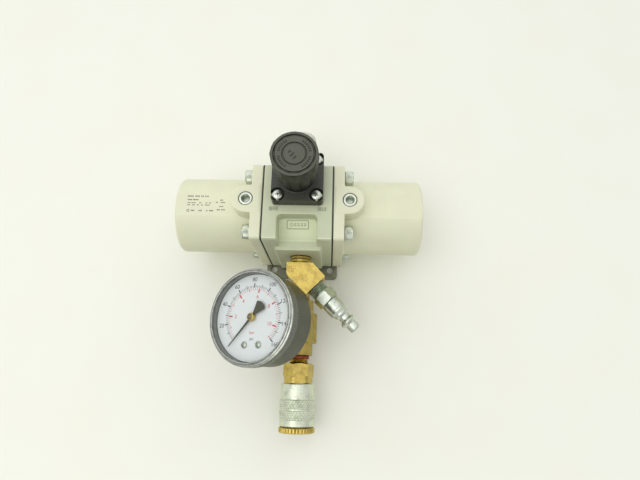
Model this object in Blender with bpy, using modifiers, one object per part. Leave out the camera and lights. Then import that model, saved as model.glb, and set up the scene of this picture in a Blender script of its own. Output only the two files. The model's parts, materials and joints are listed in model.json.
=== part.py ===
"""Pressure-boosting air regulator: two opposed cylinders, brass fittings, gauge and couplings.

+X runs to the right along the cylinders, +Y to the rear and +Z up.  The origin lies on the
mounting surface, under the cylinders' axis and halfway between them.  Lengths are in
millimetres, and the helpers turn them into Blender's metres.
"""
import math

import bmesh
import bpy
from mathutils import Matrix, Vector

MM = 0.001
GAP = 0.3                      # clearance between neighbouring solids

# Directions for pieces that are drawn along their own +Z
UP = (0.0, 0.0, 0.0)
RIGHT = (math.pi / 2, 0.0, math.pi / 2)       # own X, Y, Z become +Y, +Z, +X
LEFT = (math.pi / 2, 0.0, -math.pi / 2)
FORWARD = (math.pi / 2, 0.0, 0.0)             # own Z becomes -Y
REARWARD = (-math.pi / 2, 0.0, 0.0)

# Centre body
BODY_HALF = 23.0
BODY_FRONT = -28.2
BODY_REAR = 25.5
BODY_BOTTOM = 3.3
BODY_TOP = 80.0
BODY_CORNER = 2.5
AXIS_Z = 42.4                  # height of the cylinders' axis
REAR_BOSS_HALF = 17.0
REAR_BOSS_FACE = 30.0
REAR_BOSS_BOTTOM = 28.0
REAR_BOSS_TOP = 79.5
PORT_FACE = -30.7
PORT_HALF = 16.25
PORT_TOP = 61.8
LIP_Z = 62.0                   # floor of the front window, just above the port block
PORT_BOTTOM = 6.0
WINDOW_HALF = 13.4             # recess between the two front columns

# Cylinder covers
GASKET = 1.0
COVER_START = BODY_HALF + GAP + GASKET + GAP
FLANGE = 7.0
CYLINDER_RADIUS = 27.0
CYLINDER_END = 86.3
BORE_RADIUS = 22.5
COVER_WALL = 4.3
FLAT_HEIGHT = 25.6             # flat on top of a cylinder, above its axis
FLAT_HALF = 8.7
FLAT_START = 45.2              # where the flat begins, beyond the boss
BOSS_X = 35.1
BOSS_RADIUS = 9.9
BOSS_TOP = 80.4
PLUG_RADIUS = 4.75
SCREW_Y = 20.2                 # cover screws, from the cylinders' axis
SCREW_Z = 26.5
SCREW_RADIUS = 3.0
SCREW_HEAD = 5.0
SCREW_HOLE = 3.4
SMALL_HOLE = 2.4               # for the bonnet's and the bracket's 4 mm screws

# Pistons, rod and changeover valve
ROD_RADIUS = 4.5
ROD_HALF = 54.0
PISTON_INNER = 43.3
PISTON_WIDTH = 10.0
PISTON_RADIUS = 22.0
SEAL_RADIUS = 22.2
GROOVE_RADIUS = 19.0
BUSH_RADIUS = 7.0
BUSH_HALF = 15.0
SPOOL_Z = 25.5
SPOOL_RADIUS = 5.5
SPOOL_HALF = 24.6

# Setting mechanism under the knob
KNOB_Y = 12.7
BONNET_HALF = 17.15
BONNET_BASE = BODY_TOP + GAP
BONNET_TOP = 88.9              # top of its square flange
NECK_RADIUS = 11.3
NECK_TOP = 101.0
CEILING = 99.0                 # top of the spring chamber
CHAMBER_RADIUS = 9.2
BONNET_SCREW = 12.8
POCKET_FLOOR = 86.4
KNOB_BOTTOM = 96.5
KNOB_TOP = 122.0
KNOB_RADIUS = 14.5
KNOB_SKIRT = 12.9
SCREW_THREAD = 3.9
NUT_BOTTOM = 92.5
NUT_THICKNESS = 3.0
SPRING_RADIUS = 6.6
SPRING_WIRE = 0.8
PLATE_TOP = 82.2
CHAMBER_IN_BODY = 12.0
DIAPHRAGM_RADIUS = 14.7
PILOT_BOTTOM = 53.0

# Ports and brass fittings
PORT_X = 1.0
INLET_Z = 41.5
OUTLET_Z = 20.0
PORT_THREAD = 6.85
PORT_BORE = PORT_THREAD + GAP
FLOW_RADIUS = 4.0
ELBOW_HALF = 9.25
ELBOW_REAR = -36.4
ELBOW_TURN = math.radians(45.0)
ELBOW_OUTLET = (12.85, -52.85)
NECK_OF_ELBOW = 7.8
TEE_Y = -79.0
TEE_BLOCK = 9.5
TEE_BLOCK_HALF = 11.0
TEE_ARM_RADIUS = 9.6
TEE_HALF_RUN = 20.0
GAUGE_TILT = math.radians(25.2)

# Coupler, as distances in front of the cylinders' axis
COUPLER_HEX = 104.7
COUPLER_SHOULDER = 118.6
COUPLER_SLEEVE_END = 147.6
COUPLER_END = 151.7
COUPLER_BORE = 6.2
COUPLER_TUBE = 9.5
SLEEVE_RADIUS = 12.5
COUPLER_SEAT = 126.0           # rear of its check valve
COUPLER_HEX_SIZE = 19.05       # bar stock across flats

# Gauge, as distances from the tee's axis along the gauge's axis
GAUGE_BACK = 37.8
GAUGE_FRONT = 68.0
CASE_RADIUS = 29.7
CASE_WALL = 1.6
CASE_LIP = 61.8                # front edge of the case, under the lens
RIM_RADIUS = 31.0
LENS_THICKNESS = 1.2
STEM_RADIUS = 6.0
DIAL_TOP = 62.6
DIAL_RADIUS = 27.6
DIAL_THICKNESS = 0.8
DIAL_SCREW_X = (-5.2, 5.2)
DIAL_SCREW_Y = -17.0
POINTER_HEIGHT = 64.4

# Bracket and silencer
BRACKET_HALF = 28.0
BRACKET_FRONT = -38.2
BRACKET_REAR = 36.5
BRACKET_THICKNESS = 3.0
BRACKET_HOLE_X = 22.5
BRACKET_HOLE_FRONT = -31.2
BRACKET_HOLE_REAR = 30.5
BRACKET_HOLE_RADIUS = 2.75
SILENCER_Z = 41.0
SILENCER_NUT_END = 36.5
SILENCER_END = 71.5
SILENCER_RADIUS = 10.0

FINISHES = {                   # colour, metallic, roughness
    "body_grey": ((0.42, 0.44, 0.36), 0.0, 0.50),
    "cover_ivory": ((0.74, 0.74, 0.64), 0.0, 0.42),
    "black_rubber": ((0.02, 0.02, 0.02), 0.0, 0.75),
    "black_plastic": ((0.035, 0.036, 0.034), 0.0, 0.45),
    "zinc_steel": ((0.66, 0.67, 0.63), 1.0, 0.30),
    "bracket_steel": ((0.20, 0.21, 0.18), 0.6, 0.50),
    "brass": ((0.72, 0.52, 0.20), 1.0, 0.33),
    "aluminium": ((0.70, 0.71, 0.72), 1.0, 0.38),
    "spring_steel": ((0.35, 0.35, 0.36), 1.0, 0.35),
    "white_plastic": ((0.78, 0.79, 0.72), 0.0, 0.55),
    "case_black": ((0.05, 0.055, 0.045), 0.3, 0.30),
    "dial_white": ((0.88, 0.89, 0.90), 0.0, 0.60),
    "clear_plastic": ((0.85, 0.87, 0.86), 0.0, 0.08),
}


def start_scene():
    for item in list(bpy.data.objects):
        bpy.data.objects.remove(item, do_unlink=True)
    collections = []
    for name in ("air_pressure_regulator", "cutters"):
        collection = bpy.data.collections.new(name)
        bpy.context.scene.collection.children.link(collection)
        collections.append(collection)
    return collections


PARTS, CUTTERS = start_scene()


def finish_material(name, finish):
    colour, metallic, roughness = FINISHES[finish]
    material = bpy.data.materials.new(name)
    material.use_nodes = True
    shader = material.node_tree.nodes["Principled BSDF"]
    shader.inputs["Base Color"].default_value = (*colour, 1.0)
    shader.inputs["Metallic"].default_value = metallic
    shader.inputs["Roughness"].default_value = roughness
    return material


def place(name, mesh, at=(0, 0, 0), turn=UP, parent=None):
    """Put a mesh in the scene as a tool; make_part turns it into a named piece."""
    item = bpy.data.objects.new(name, mesh)
    CUTTERS.objects.link(item)
    item.location = Vector(at) * MM
    item.rotation_euler = turn
    item.parent = parent
    item.hide_render = True
    item.display_type = "WIRE"
    return item


def make_part(item, name, finish):
    CUTTERS.objects.unlink(item)
    PARTS.objects.link(item)
    item.name = name
    item.hide_render = False
    item.display_type = "TEXTURED"
    item.data.materials.clear()
    item.data.materials.append(finish_material(name, finish))
    item.data.shade_smooth()
    item.data.set_sharp_from_angle(angle=math.radians(35))
    return item


def empty(name, at, turn=UP):
    item = bpy.data.objects.new(name, None)
    PARTS.objects.link(item)
    item.location = Vector(at) * MM
    item.rotation_euler = turn
    return item


def mesh_from(shape):
    mesh = bpy.data.meshes.new("shape")
    bmesh.ops.recalc_face_normals(shape, faces=shape.faces[:])
    shape.to_mesh(mesh)
    shape.free()
    return mesh


def block(low, high, edge=0.0, parent=None):
    """Box between two corners, its edges rounded by edge."""
    low, high = Vector(low), Vector(high)
    shape = bmesh.new()
    bmesh.ops.create_cube(shape, size=1.0)
    bmesh.ops.scale(shape, vec=(high - low) * MM, verts=shape.verts[:])
    item = place("block", mesh_from(shape), (low + high) / 2, UP, parent)
    if edge:
        bevel(item, edge)
    return item


def rod(radius, start, end, at=(0, 0, 0), turn=UP, parent=None, sides=16, spin=0.0):
    """Cylinder or prism from start to end along its own Z; radius reaches its corners."""
    shape = bmesh.new()
    bmesh.ops.create_cone(
        shape, cap_ends=True, segments=sides, radius1=radius * MM, radius2=radius * MM,
        depth=(end - start) * MM)
    bmesh.ops.translate(shape, vec=(0, 0, (start + end) / 2 * MM), verts=shape.verts[:])
    bmesh.ops.rotate(shape, matrix=Matrix.Rotation(spin, 3, "Z"), verts=shape.verts[:])
    return place("rod", mesh_from(shape), at, turn, parent)


def hexagon(across_flats, start, end, at=(0, 0, 0), turn=UP, parent=None, spin=0.0):
    corner = across_flats / 2 / math.cos(math.pi / 6)
    return rod(corner, start, end, at, turn, parent, sides=6, spin=spin)


def turned(profile, at=(0, 0, 0), turn=UP, parent=None, steps=20):
    """Turned solid: (radius, height) points down the outer side, and up a bore if it has one."""
    mesh = bpy.data.meshes.new("profile")
    points = [(radius * MM, 0.0, height * MM) for radius, height in profile]
    edges = [(i, i + 1) for i in range(len(points) - 1)]
    if profile[0][0] > 0:
        edges.append((len(points) - 1, 0))
    mesh.from_pydata(points, edges, [])
    item = place("turned", mesh, at, turn, parent)
    screw = item.modifiers.new("turn", "SCREW")
    screw.steps = steps
    screw.render_steps = steps
    screw.use_merge_vertices = True
    screw.merge_threshold = 0.00001
    return item


def plate(outlines, thickness, at=(0, 0, 0), turn=UP, parent=None):
    """Flat outline and its holes, extruded evenly about its own XY plane."""
    curve = bpy.data.curves.new("outline", "CURVE")
    curve.dimensions = "2D"
    curve.fill_mode = "BOTH"
    curve.extrude = thickness / 2 * MM
    for outline in outlines:
        spline = curve.splines.new("POLY")
        spline.points.add(len(outline) - 1)
        for point, (x, y) in zip(spline.points, outline):
            point.co = (x * MM, y * MM, 0.0, 1.0)
        spline.use_cyclic_u = True
    return place("plate", mesh_of_curve(curve), at, turn, parent)


def wire(points, radius, at=(0, 0, 0), turn=UP, parent=None):
    """Round wire or tube with closed ends through a list of points."""
    curve = bpy.data.curves.new("wire", "CURVE")
    curve.dimensions = "3D"
    curve.bevel_depth = radius * MM
    curve.bevel_resolution = 2
    curve.use_fill_caps = True
    spline = curve.splines.new("POLY")
    spline.points.add(len(points) - 1)
    for point, place_on_path in zip(spline.points, points):
        point.co = (*(Vector(place_on_path) * MM), 1.0)
    return place("wire", mesh_of_curve(curve), at, turn, parent)


def mesh_of_curve(curve):
    guide = bpy.data.objects.new("guide", curve)
    CUTTERS.objects.link(guide)
    bpy.context.view_layer.update()
    depsgraph = bpy.context.evaluated_depsgraph_get()
    mesh = bpy.data.meshes.new_from_object(guide.evaluated_get(depsgraph))
    bpy.data.objects.remove(guide)
    shape = bmesh.new()
    shape.from_mesh(mesh)
    bmesh.ops.remove_doubles(shape, verts=shape.verts[:], dist=0.000001)
    bmesh.ops.recalc_face_normals(shape, faces=shape.faces[:])
    shape.to_mesh(mesh)
    shape.free()
    return mesh


def bevel(item, width, segments=2):
    modifier = item.modifiers.new("edge", "BEVEL")
    modifier.width = width * MM
    modifier.segments = segments
    modifier.limit_method = "ANGLE"
    modifier.angle_limit = math.radians(40)
    return item


def combine(item, tools, operation):
    for tool in tools:
        modifier = item.modifiers.new(operation.lower(), "BOOLEAN")
        modifier.operation = operation
        modifier.solver = "EXACT"
        modifier.object = tool
    return item


def join(item, *tools):
    return combine(item, tools, "UNION")


def cut(item, *tools):
    return combine(item, tools, "DIFFERENCE")


def arc(centre, radius, start, end, count):
    """Points on an arc from start to end, in degrees."""
    angles = [math.radians(start + (end - start) * i / count) for i in range(count + 1)]
    return [(centre[0] + radius * math.cos(a), centre[1] + radius * math.sin(a)) for a in angles]


def ring(centre, radius, count=24):
    return arc(centre, radius, 0, 360, count)[:-1]


def rounded(corners, radius, count=2):
    """Outline with each corner of a convex polygon rounded to radius."""
    points = []
    for i, corner in enumerate(corners):
        here = Vector(corner)
        before = (Vector(corners[i - 1]) - here).normalized()
        after = (Vector(corners[(i + 1) % len(corners)]) - here).normalized()
        half = before.angle(after) / 2
        reach = radius / math.tan(half)
        start = here + before * reach
        end = here + after * reach
        centre = here + (before + after).normalized() * radius / math.sin(half)
        for step in range(count + 1):
            spoke = (start - centre).slerp(end - centre, step / count).normalized()
            points.append(tuple(centre + spoke * radius))
    return points


def rectangle(x_low, y_low, x_high, y_high):
    return [(x_low, y_low), (x_high, y_low), (x_high, y_high), (x_low, y_high)]


def side_outline():
    """Outline that the body, the gaskets and the cover flanges share, in Y and Z."""
    corners = rectangle(BODY_FRONT, BODY_BOTTOM, BODY_REAR, BODY_TOP)
    return rounded(corners, BODY_CORNER)


def cover_screw_places():
    return [(y, AXIS_Z + z) for z in (SCREW_Z, -SCREW_Z) for y in (-SCREW_Y, SCREW_Y)]


def bonnet_screw_places():
    signs = ((-1, -1), (1, -1), (-1, 1), (1, 1))
    return [(x * BONNET_SCREW, KNOB_Y + y * BONNET_SCREW) for x, y in signs]


def bracket_screw_places():
    return [(x, y) for x in (-12.0, 12.0) for y in (-14.0, 14.0)]


# ---------------------------------------------------------------- centre body

def center_body():
    body = plate([side_outline()], 2 * BODY_HALF, turn=RIGHT)
    rear_boss = block((-REAR_BOSS_HALF, BODY_REAR - 5, REAR_BOSS_BOTTOM),
                      (REAR_BOSS_HALF, REAR_BOSS_FACE, REAR_BOSS_TOP), edge=1.5)
    port_block = block((-PORT_HALF, PORT_FACE, PORT_BOTTOM),
                       (PORT_HALF, BODY_FRONT + 5, PORT_TOP), edge=1.2)
    join(body, rear_boss, port_block)
    cut(body, window_cutter(), *flow_cutters(), *setting_chamber_cutters())
    cut(body, *screw_hole_cutters())
    make_part(body, "center_body", "body_grey")


def window_cutter():
    """Recess in the front: a slope between two columns, down to the port block's lip."""
    slope = [(-10.5, BODY_TOP + 3), (-10.5, 71.5), (-11.5, 70.6), (-21.5, 64.4),
             (-24.6, LIP_Z), (-40.0, LIP_Z), (-40.0, BODY_TOP + 3)]
    return plate([slope], 2 * WINDOW_HALF, turn=RIGHT)


def flow_cutters():
    inlet = (PORT_X, 0, INLET_Z)
    outlet = (PORT_X, 0, OUTLET_Z)
    return [
        rod(BUSH_RADIUS + GAP, -40, 40, (0, 0, AXIS_Z), RIGHT),
        rod(SPOOL_RADIUS + GAP, -40, 40, (0, 0, SPOOL_Z), RIGHT),
        rod(PORT_BORE, 17.5, 40, inlet, FORWARD),
        rod(FLOW_RADIUS, 10.0, 18, inlet, FORWARD, sides=10),
        rod(PORT_BORE, 17.5, 40, outlet, FORWARD),
        rod(FLOW_RADIUS, 9.0, 18, outlet, FORWARD, sides=10),
        rod(6.8, 17.5, 40, (0, 0, SILENCER_Z), REARWARD),
        rod(FLOW_RADIUS, 10.0, 18, (0, 0, SILENCER_Z), REARWARD, sides=10),
    ]


def setting_chamber_cutters():
    centre = (0, KNOB_Y, 0)
    return [
        rod(DIAPHRAGM_RADIUS + GAP, 78.6, BODY_TOP + 5, centre),
        rod(CHAMBER_IN_BODY, 60.0, BODY_TOP, centre),
        rod(4.5, PILOT_BOTTOM, 61.0, centre, sides=12),
    ]


def screw_hole_cutters():
    holes = []
    for y, z in cover_screw_places():
        for side in (-1, 1):
            holes.append(rod(SCREW_HOLE, -5, 8.0, (side * BODY_HALF, y, z),
                             LEFT if side > 0 else RIGHT, sides=8))
    for x, y in bonnet_screw_places():
        holes.append(rod(SMALL_HOLE, 72.5, BODY_TOP + 5, (x, y, 0), sides=8))
    for x, y in bracket_screw_places():
        holes.append(rod(SMALL_HOLE, 0.0, 12.5, (x, y, 0), sides=8))
    return holes


def gaskets():
    for side, name in ((-1, "left_gasket"), (1, "right_gasket")):
        outlines = [side_outline(), ring((0, AXIS_Z), BORE_RADIUS + 0.5, 32)]
        outlines += [ring(spot, SCREW_HOLE, 8) for spot in cover_screw_places()]
        middle = BODY_HALF + GAP + GASKET / 2
        make_part(plate(outlines, GASKET, (side * middle, 0, 0), RIGHT), name, "black_rubber")


# ------------------------------------------------------------ cylinder covers

def cylinder_cover(side, name):
    out = RIGHT if side > 0 else LEFT
    flange_middle = COVER_START + FLANGE / 2
    cover = plate([side_outline()], FLANGE, (side * flange_middle, 0, 0), RIGHT)
    edge = arc((CYLINDER_RADIUS - 2.5, CYLINDER_END - 2.5), 2.5, 90, 0, 3)
    inner = COVER_START + 1
    shell = turned([(0, CYLINDER_END), *edge, (CYLINDER_RADIUS, inner), (0, inner)],
                   (0, 0, AXIS_Z), out, steps=36)
    boss = plate([boss_outline(side, inner)], 40.0, (0, 0, BOSS_TOP - 20.0))
    join(cover, shell, boss)
    bore = rod(BORE_RADIUS, 10, CYLINDER_END - COVER_WALL, (0, 0, AXIS_Z), out, sides=32)
    flat_ends = sorted((side * FLAT_START, side * (CYLINDER_END + 10)))
    flat = block((flat_ends[0], -FLAT_HALF, AXIS_Z + FLAT_HEIGHT),
                 (flat_ends[1], FLAT_HALF, AXIS_Z + 40))
    plug_hole = rod(PLUG_RADIUS + GAP, 71.5, 90, (side * BOSS_X, 0, 0))
    passage = rod(2.5, 60.0, 75.0, (side * BOSS_X, 0, 0), sides=8)
    cut(cover, bore, flat, plug_hole, passage)
    for y, z in cover_screw_places():
        cut(cover, rod(SCREW_HOLE, 10, 40, (0, y, z), out, sides=8))
    make_part(cover, name, "cover_ivory")


def boss_outline(side, inner):
    nose = arc((BOSS_X, 0), BOSS_RADIUS, -90, 90, 10)
    outline = [(inner, -BOSS_RADIUS), *nose, (inner, BOSS_RADIUS)]
    return [(side * x, y) for x, y in outline]


def socket_screw_mesh():
    """Socket-head screw along +Z, its head standing on Z = 0."""
    screw = turned([(0, 6), (4.5, 6), (SCREW_HEAD, 5.5), (SCREW_HEAD, 0), (SCREW_RADIUS, 0),
                    (SCREW_RADIUS, -14.5), (0, -14.5)], steps=10)
    cut(screw, hexagon(5.0, 3.0, 8.0))
    return applied_mesh(screw)


def applied_mesh(item):
    """The mesh of a tool with its modifiers applied, for pieces that are copies of it."""
    bpy.context.view_layer.update()
    depsgraph = bpy.context.evaluated_depsgraph_get()
    mesh = bpy.data.meshes.new_from_object(item.evaluated_get(depsgraph))
    bpy.data.objects.remove(item)
    return mesh


def cover_screws():
    mesh = socket_screw_mesh()
    seat = COVER_START + FLANGE + GAP
    for side, letter in ((-1, "left"), (1, "right")):
        for number, (y, z) in enumerate(cover_screw_places(), 1):
            screw = place("screw", mesh.copy(), (side * seat, y, z), RIGHT if side > 0 else LEFT)
            make_part(screw, f"{letter}_cover_screw_{number}", "zinc_steel")


def port_plugs():
    for side, name in ((-1, "left_port_plug"), (1, "right_port_plug")):
        plug = turned([(0, 0), (PLUG_RADIUS - 0.4, 0), (PLUG_RADIUS, -0.4), (PLUG_RADIUS, -7.8),
                       (0, -7.8)], (side * BOSS_X, 0, BOSS_TOP - 0.2), steps=12)
        cut(plug, hexagon(5.0, -4.5, 3.0, (side * BOSS_X, 0, BOSS_TOP)))
        make_part(plug, name, "zinc_steel")


# ------------------------------------------- pistons, rod and changeover valve

def piston_set():
    axis = (0, 0, AXIS_Z)
    make_part(rod(ROD_RADIUS, -ROD_HALF, ROD_HALF, axis, RIGHT), "piston_rod", "zinc_steel")
    hole = ROD_RADIUS + GAP
    land = 3.0
    outer = PISTON_INNER + PISTON_WIDTH
    low, high = PISTON_INNER + land, outer - land
    for turn, name in ((LEFT, "left"), (RIGHT, "right")):
        piston = turned([(hole, outer), (PISTON_RADIUS, outer), (PISTON_RADIUS, high),
                         (GROOVE_RADIUS, high), (GROOVE_RADIUS, low), (PISTON_RADIUS, low),
                         (PISTON_RADIUS, PISTON_INNER), (hole, PISTON_INNER)], axis, turn)
        make_part(piston, f"{name}_piston", "aluminium")
        seal = turned([(GROOVE_RADIUS + GAP, high - GAP), (SEAL_RADIUS, high - GAP),
                       (SEAL_RADIUS, low + GAP), (GROOVE_RADIUS + GAP, low + GAP)], axis, turn)
        make_part(seal, f"{name}_piston_seal", "black_rubber")


def rod_bush():
    hole = ROD_RADIUS + 0.1
    bush = turned([(hole, BUSH_HALF), (BUSH_RADIUS, BUSH_HALF), (BUSH_RADIUS, -BUSH_HALF),
                   (hole, -BUSH_HALF)], (0, 0, AXIS_Z), RIGHT, steps=16)
    make_part(bush, "rod_bush", "brass")


def changeover_spool():
    waist = 3.2
    half = [(0, SPOOL_HALF), (2.5, SPOOL_HALF), (2.5, 21.5), (SPOOL_RADIUS, 21.0),
            (SPOOL_RADIUS, 14.0), (waist, 13.0), (waist, 5.0), (SPOOL_RADIUS, 4.0)]
    profile = half + [(radius, -height) for radius, height in reversed(half)]
    spool = turned(profile, (0, 0, SPOOL_Z), RIGHT, steps=12)
    make_part(spool, "changeover_spool", "aluminium")


# ------------------------------------------------ setting mechanism and bonnet

def bonnet():
    corners = rectangle(-BONNET_HALF, KNOB_Y - BONNET_HALF, BONNET_HALF, KNOB_Y + BONNET_HALF)
    thickness = BONNET_TOP - BONNET_BASE
    middle = (BONNET_TOP + BONNET_BASE) / 2
    flange = plate([rounded(corners, 2.5)], thickness, (0, 0, middle))
    bevel(flange, 0.6, 1)
    centre = (0, KNOB_Y, 0)
    neck = rod(NECK_RADIUS, BONNET_TOP - 3, NECK_TOP, centre, sides=24)
    join(flange, neck)
    cut(flange, rod(12.5, 70, BONNET_BASE + 2.2, centre),
        rod(CHAMBER_RADIUS, 70, CEILING, centre, sides=20),
        rod(SCREW_THREAD + GAP, 80, 110, centre, sides=12))
    for x, y in bonnet_screw_places():
        cut(flange, rod(4.5, POCKET_FLOOR, 95, (x, y, 0), sides=12),
            rod(SMALL_HOLE, 70, 95, (x, y, 0), sides=8))
    for x in (-3.6, 3.6):
        cut(flange, block((x - 0.6, KNOB_Y - NECK_RADIUS - 1, BONNET_TOP + 0.8),
                          (x + 0.6, KNOB_Y - NECK_RADIUS + 1.0, NECK_TOP - 1.0)))
    make_part(flange, "bonnet", "black_plastic")


def bonnet_screws():
    head = [(0, 2.6), (2.2, 2.3), (3.4, 1.2), (3.6, 0), (2.0, 0), (2.0, -13.5), (0, -13.5)]
    screw = turned(head, steps=10)
    cut(screw, block((-1.9, -0.45, 1.3), (1.9, 0.45, 4)), block((-0.45, -1.9, 1.3), (0.45, 1.9, 4)))
    mesh = applied_mesh(screw)
    for number, (x, y) in enumerate(bonnet_screw_places(), 1):
        copy = place("screw", mesh.copy(), (x, y, POCKET_FLOOR + GAP), UP)
        make_part(copy, f"bonnet_screw_{number}", "zinc_steel")


def diaphragm():
    centre = (0, KNOB_Y, 0)
    make_part(rod(DIAPHRAGM_RADIUS, 78.9, BODY_TOP, centre), "diaphragm", "black_rubber")
    plate_profile = [(0, PLATE_TOP), (4.0, PLATE_TOP), (4.0, 81.2), (8.4, 81.2), (8.4, 80.3),
                     (0, 80.3)]
    make_part(turned(plate_profile, centre, steps=16), "diaphragm_plate", "aluminium")


def pilot_valve():
    centre = (0, KNOB_Y, 0)
    seat = turned([(2.3, 64.0), (11.6, 64.0), (11.6, 60.4), (2.3, 60.4)], centre, steps=16)
    make_part(seat, "pilot_seat", "brass")
    poppet = turned([(0, 78.5), (1.6, 78.5), (1.6, 60.0), (3.8, 59.4), (3.8, 56.0), (0, 56.0)],
                    centre, steps=12)
    make_part(poppet, "pilot_valve", "brass")


def setting_screw():
    pivot = empty("knob_axis", (0, KNOB_Y, 0))
    screw = turned([(0, 104.0), (7.4, 104.0), (7.4, NECK_TOP + GAP), (SCREW_THREAD, NECK_TOP + GAP),
                    (SCREW_THREAD, 85.0), (0, 85.0)], parent=pivot, steps=12)
    join(screw, hexagon(9.0, 103.0, 112.0, parent=pivot))
    make_part(screw, "adjusting_screw", "zinc_steel")
    nut = turned([(SCREW_THREAD + GAP, NUT_BOTTOM + NUT_THICKNESS),
                  (CHAMBER_RADIUS - GAP, NUT_BOTTOM + NUT_THICKNESS),
                  (CHAMBER_RADIUS - GAP, NUT_BOTTOM), (SCREW_THREAD + GAP, NUT_BOTTOM)],
                 parent=pivot, steps=16)
    make_part(nut, "spring_nut", "brass")
    return pivot


def setting_spring(pivot):
    turns = 3.0
    per_turn = 8
    low = PLATE_TOP - 1.0 + SPRING_WIRE + GAP
    high = NUT_BOTTOM - SPRING_WIRE - GAP
    count = int(turns * per_turn)
    points = []
    for i in range(count + 1):
        angle = 2 * math.pi * i / per_turn
        height = low + (high - low) * i / count
        points.append((SPRING_RADIUS * math.cos(angle), SPRING_RADIUS * math.sin(angle), height))
    make_part(wire(points, SPRING_WIRE, parent=pivot), "setting_spring", "spring_steel")


def pressure_knob(pivot):
    cavity = NECK_RADIUS + 0.5
    ceiling = 106.5
    profile = [(0, KNOB_TOP), (KNOB_RADIUS - 0.9, KNOB_TOP), (KNOB_RADIUS, KNOB_TOP - 0.9),
               (KNOB_RADIUS, KNOB_TOP - 7.5), (KNOB_SKIRT, KNOB_BOTTOM), (cavity, KNOB_BOTTOM),
               (cavity, ceiling), (0, ceiling)]
    knob = turned(profile, parent=pivot, steps=32)
    cut(knob, hexagon(9.6, ceiling - 2, 116.0, parent=pivot))
    make_part(knob, "pressure_knob", "black_plastic")


# --------------------------------------------------- inlet elbow and plug

def outlet_direction():
    return Vector((math.sin(ELBOW_TURN), -math.cos(ELBOW_TURN)))


def inlet_elbow():
    left, right = PORT_X - ELBOW_HALF, PORT_X + ELBOW_HALF
    out = outlet_direction()
    across = Vector((-out.y, out.x))
    face = Vector(ELBOW_OUTLET)
    high, low = face + across * ELBOW_HALF, face - across * ELBOW_HALF
    back = (low.x - left) / out.x
    heel = low - out * back
    bend = rounded([(left, ELBOW_REAR), tuple(heel), tuple(low), tuple(high),
                    (right, ELBOW_REAR)], 0.4, 1)
    elbow = plate([bend], 2 * ELBOW_HALF, (0, 0, INLET_Z))
    bevel(elbow, 0.5, 1)
    cut(elbow, heel_cutter(heel, out))
    inlet = (PORT_X, 0, INLET_Z)
    outlet = (*ELBOW_OUTLET, INLET_Z)
    along = (math.pi / 2, 0.0, ELBOW_TURN)
    thread = turned([(0, 37.5), (NECK_OF_ELBOW, 37.5), (NECK_OF_ELBOW, 32.6), (PORT_THREAD, 32.0),
                     (PORT_THREAD, 19.5), (PORT_THREAD - 0.5, 18.5), (0, 18.5)], inlet, FORWARD)
    join(elbow, thread)
    cut(elbow, rod(FLOW_RADIUS, 10, 47, inlet, FORWARD, sides=12),
        rod(FLOW_RADIUS, -14, 2, outlet, along, sides=12),
        rod(7.0, -11, 2, outlet, along))
    make_part(elbow, "inlet_elbow", "brass")


def heel_cutter(heel, out):
    """Block that takes the elbow's outer heel off square to the bend's bisector."""
    bisector = (Vector((0, -1)) + out).normalized()
    outward = Vector((bisector.y, -bisector.x))
    spot = heel - outward * 1.2
    angle = math.atan2(outward.y, outward.x)
    cutter = block((0, -20, -20), (20, 20, 20))
    cutter.location = Vector((spot.x + 10 * outward.x, spot.y + 10 * outward.y, INLET_Z)) * MM
    cutter.rotation_euler = (0, 0, angle)
    return cutter


def inlet_plug():
    """Quick-connect plug, drawn along its own axis from the elbow's outlet face."""
    axis = empty("inlet_plug_axis", (*ELBOW_OUTLET, INLET_Z), (math.pi / 2, 0.0, ELBOW_TURN))
    tip = 41.0
    profile = [(2.8, tip), (3.5, tip), (3.95, tip - 0.6), (3.95, 35.2), (5.6, 34.2), (5.95, 33.4),
               (5.95, 32.6), (4.1, 30.8), (4.1, 28.2), (5.4, 26.2), (5.4, 24.6), (6.1, 24.0),
               (6.6, 23.4), (6.6, 13.5), (6.2, 13.0), (6.7, 6.5), (6.7, -9.5), (6.2, -10.3),
               (2.8, -10.3)]
    plug = turned(profile, parent=axis, steps=16)
    nut = hexagon(14.3, 6.2, 14.2, parent=axis, spin=math.radians(12))
    cut(nut, rod(4.5, 0, 20, parent=axis))
    join(plug, nut)
    make_part(plug, "inlet_plug", "zinc_steel")


# ------------------------------------------------------ outlet side, tee, coupler

def outlet_nipple():
    axis = (PORT_X, 0, OUTLET_Z)
    profile = [(FLOW_RADIUS, 67.5), (PORT_THREAD - 0.5, 67.5), (PORT_THREAD, 66.5),
               (PORT_THREAD, 19.5), (PORT_THREAD - 0.5, 18.5), (FLOW_RADIUS, 18.5)]
    nipple = turned(profile, axis, FORWARD)
    nut = hexagon(16.0, 39.0, 51.0, axis, FORWARD)
    cut(nut, rod(5.5, 30, 60, axis, FORWARD))
    join(nipple, nut)
    make_part(nipple, "outlet_nipple", "brass")


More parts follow.
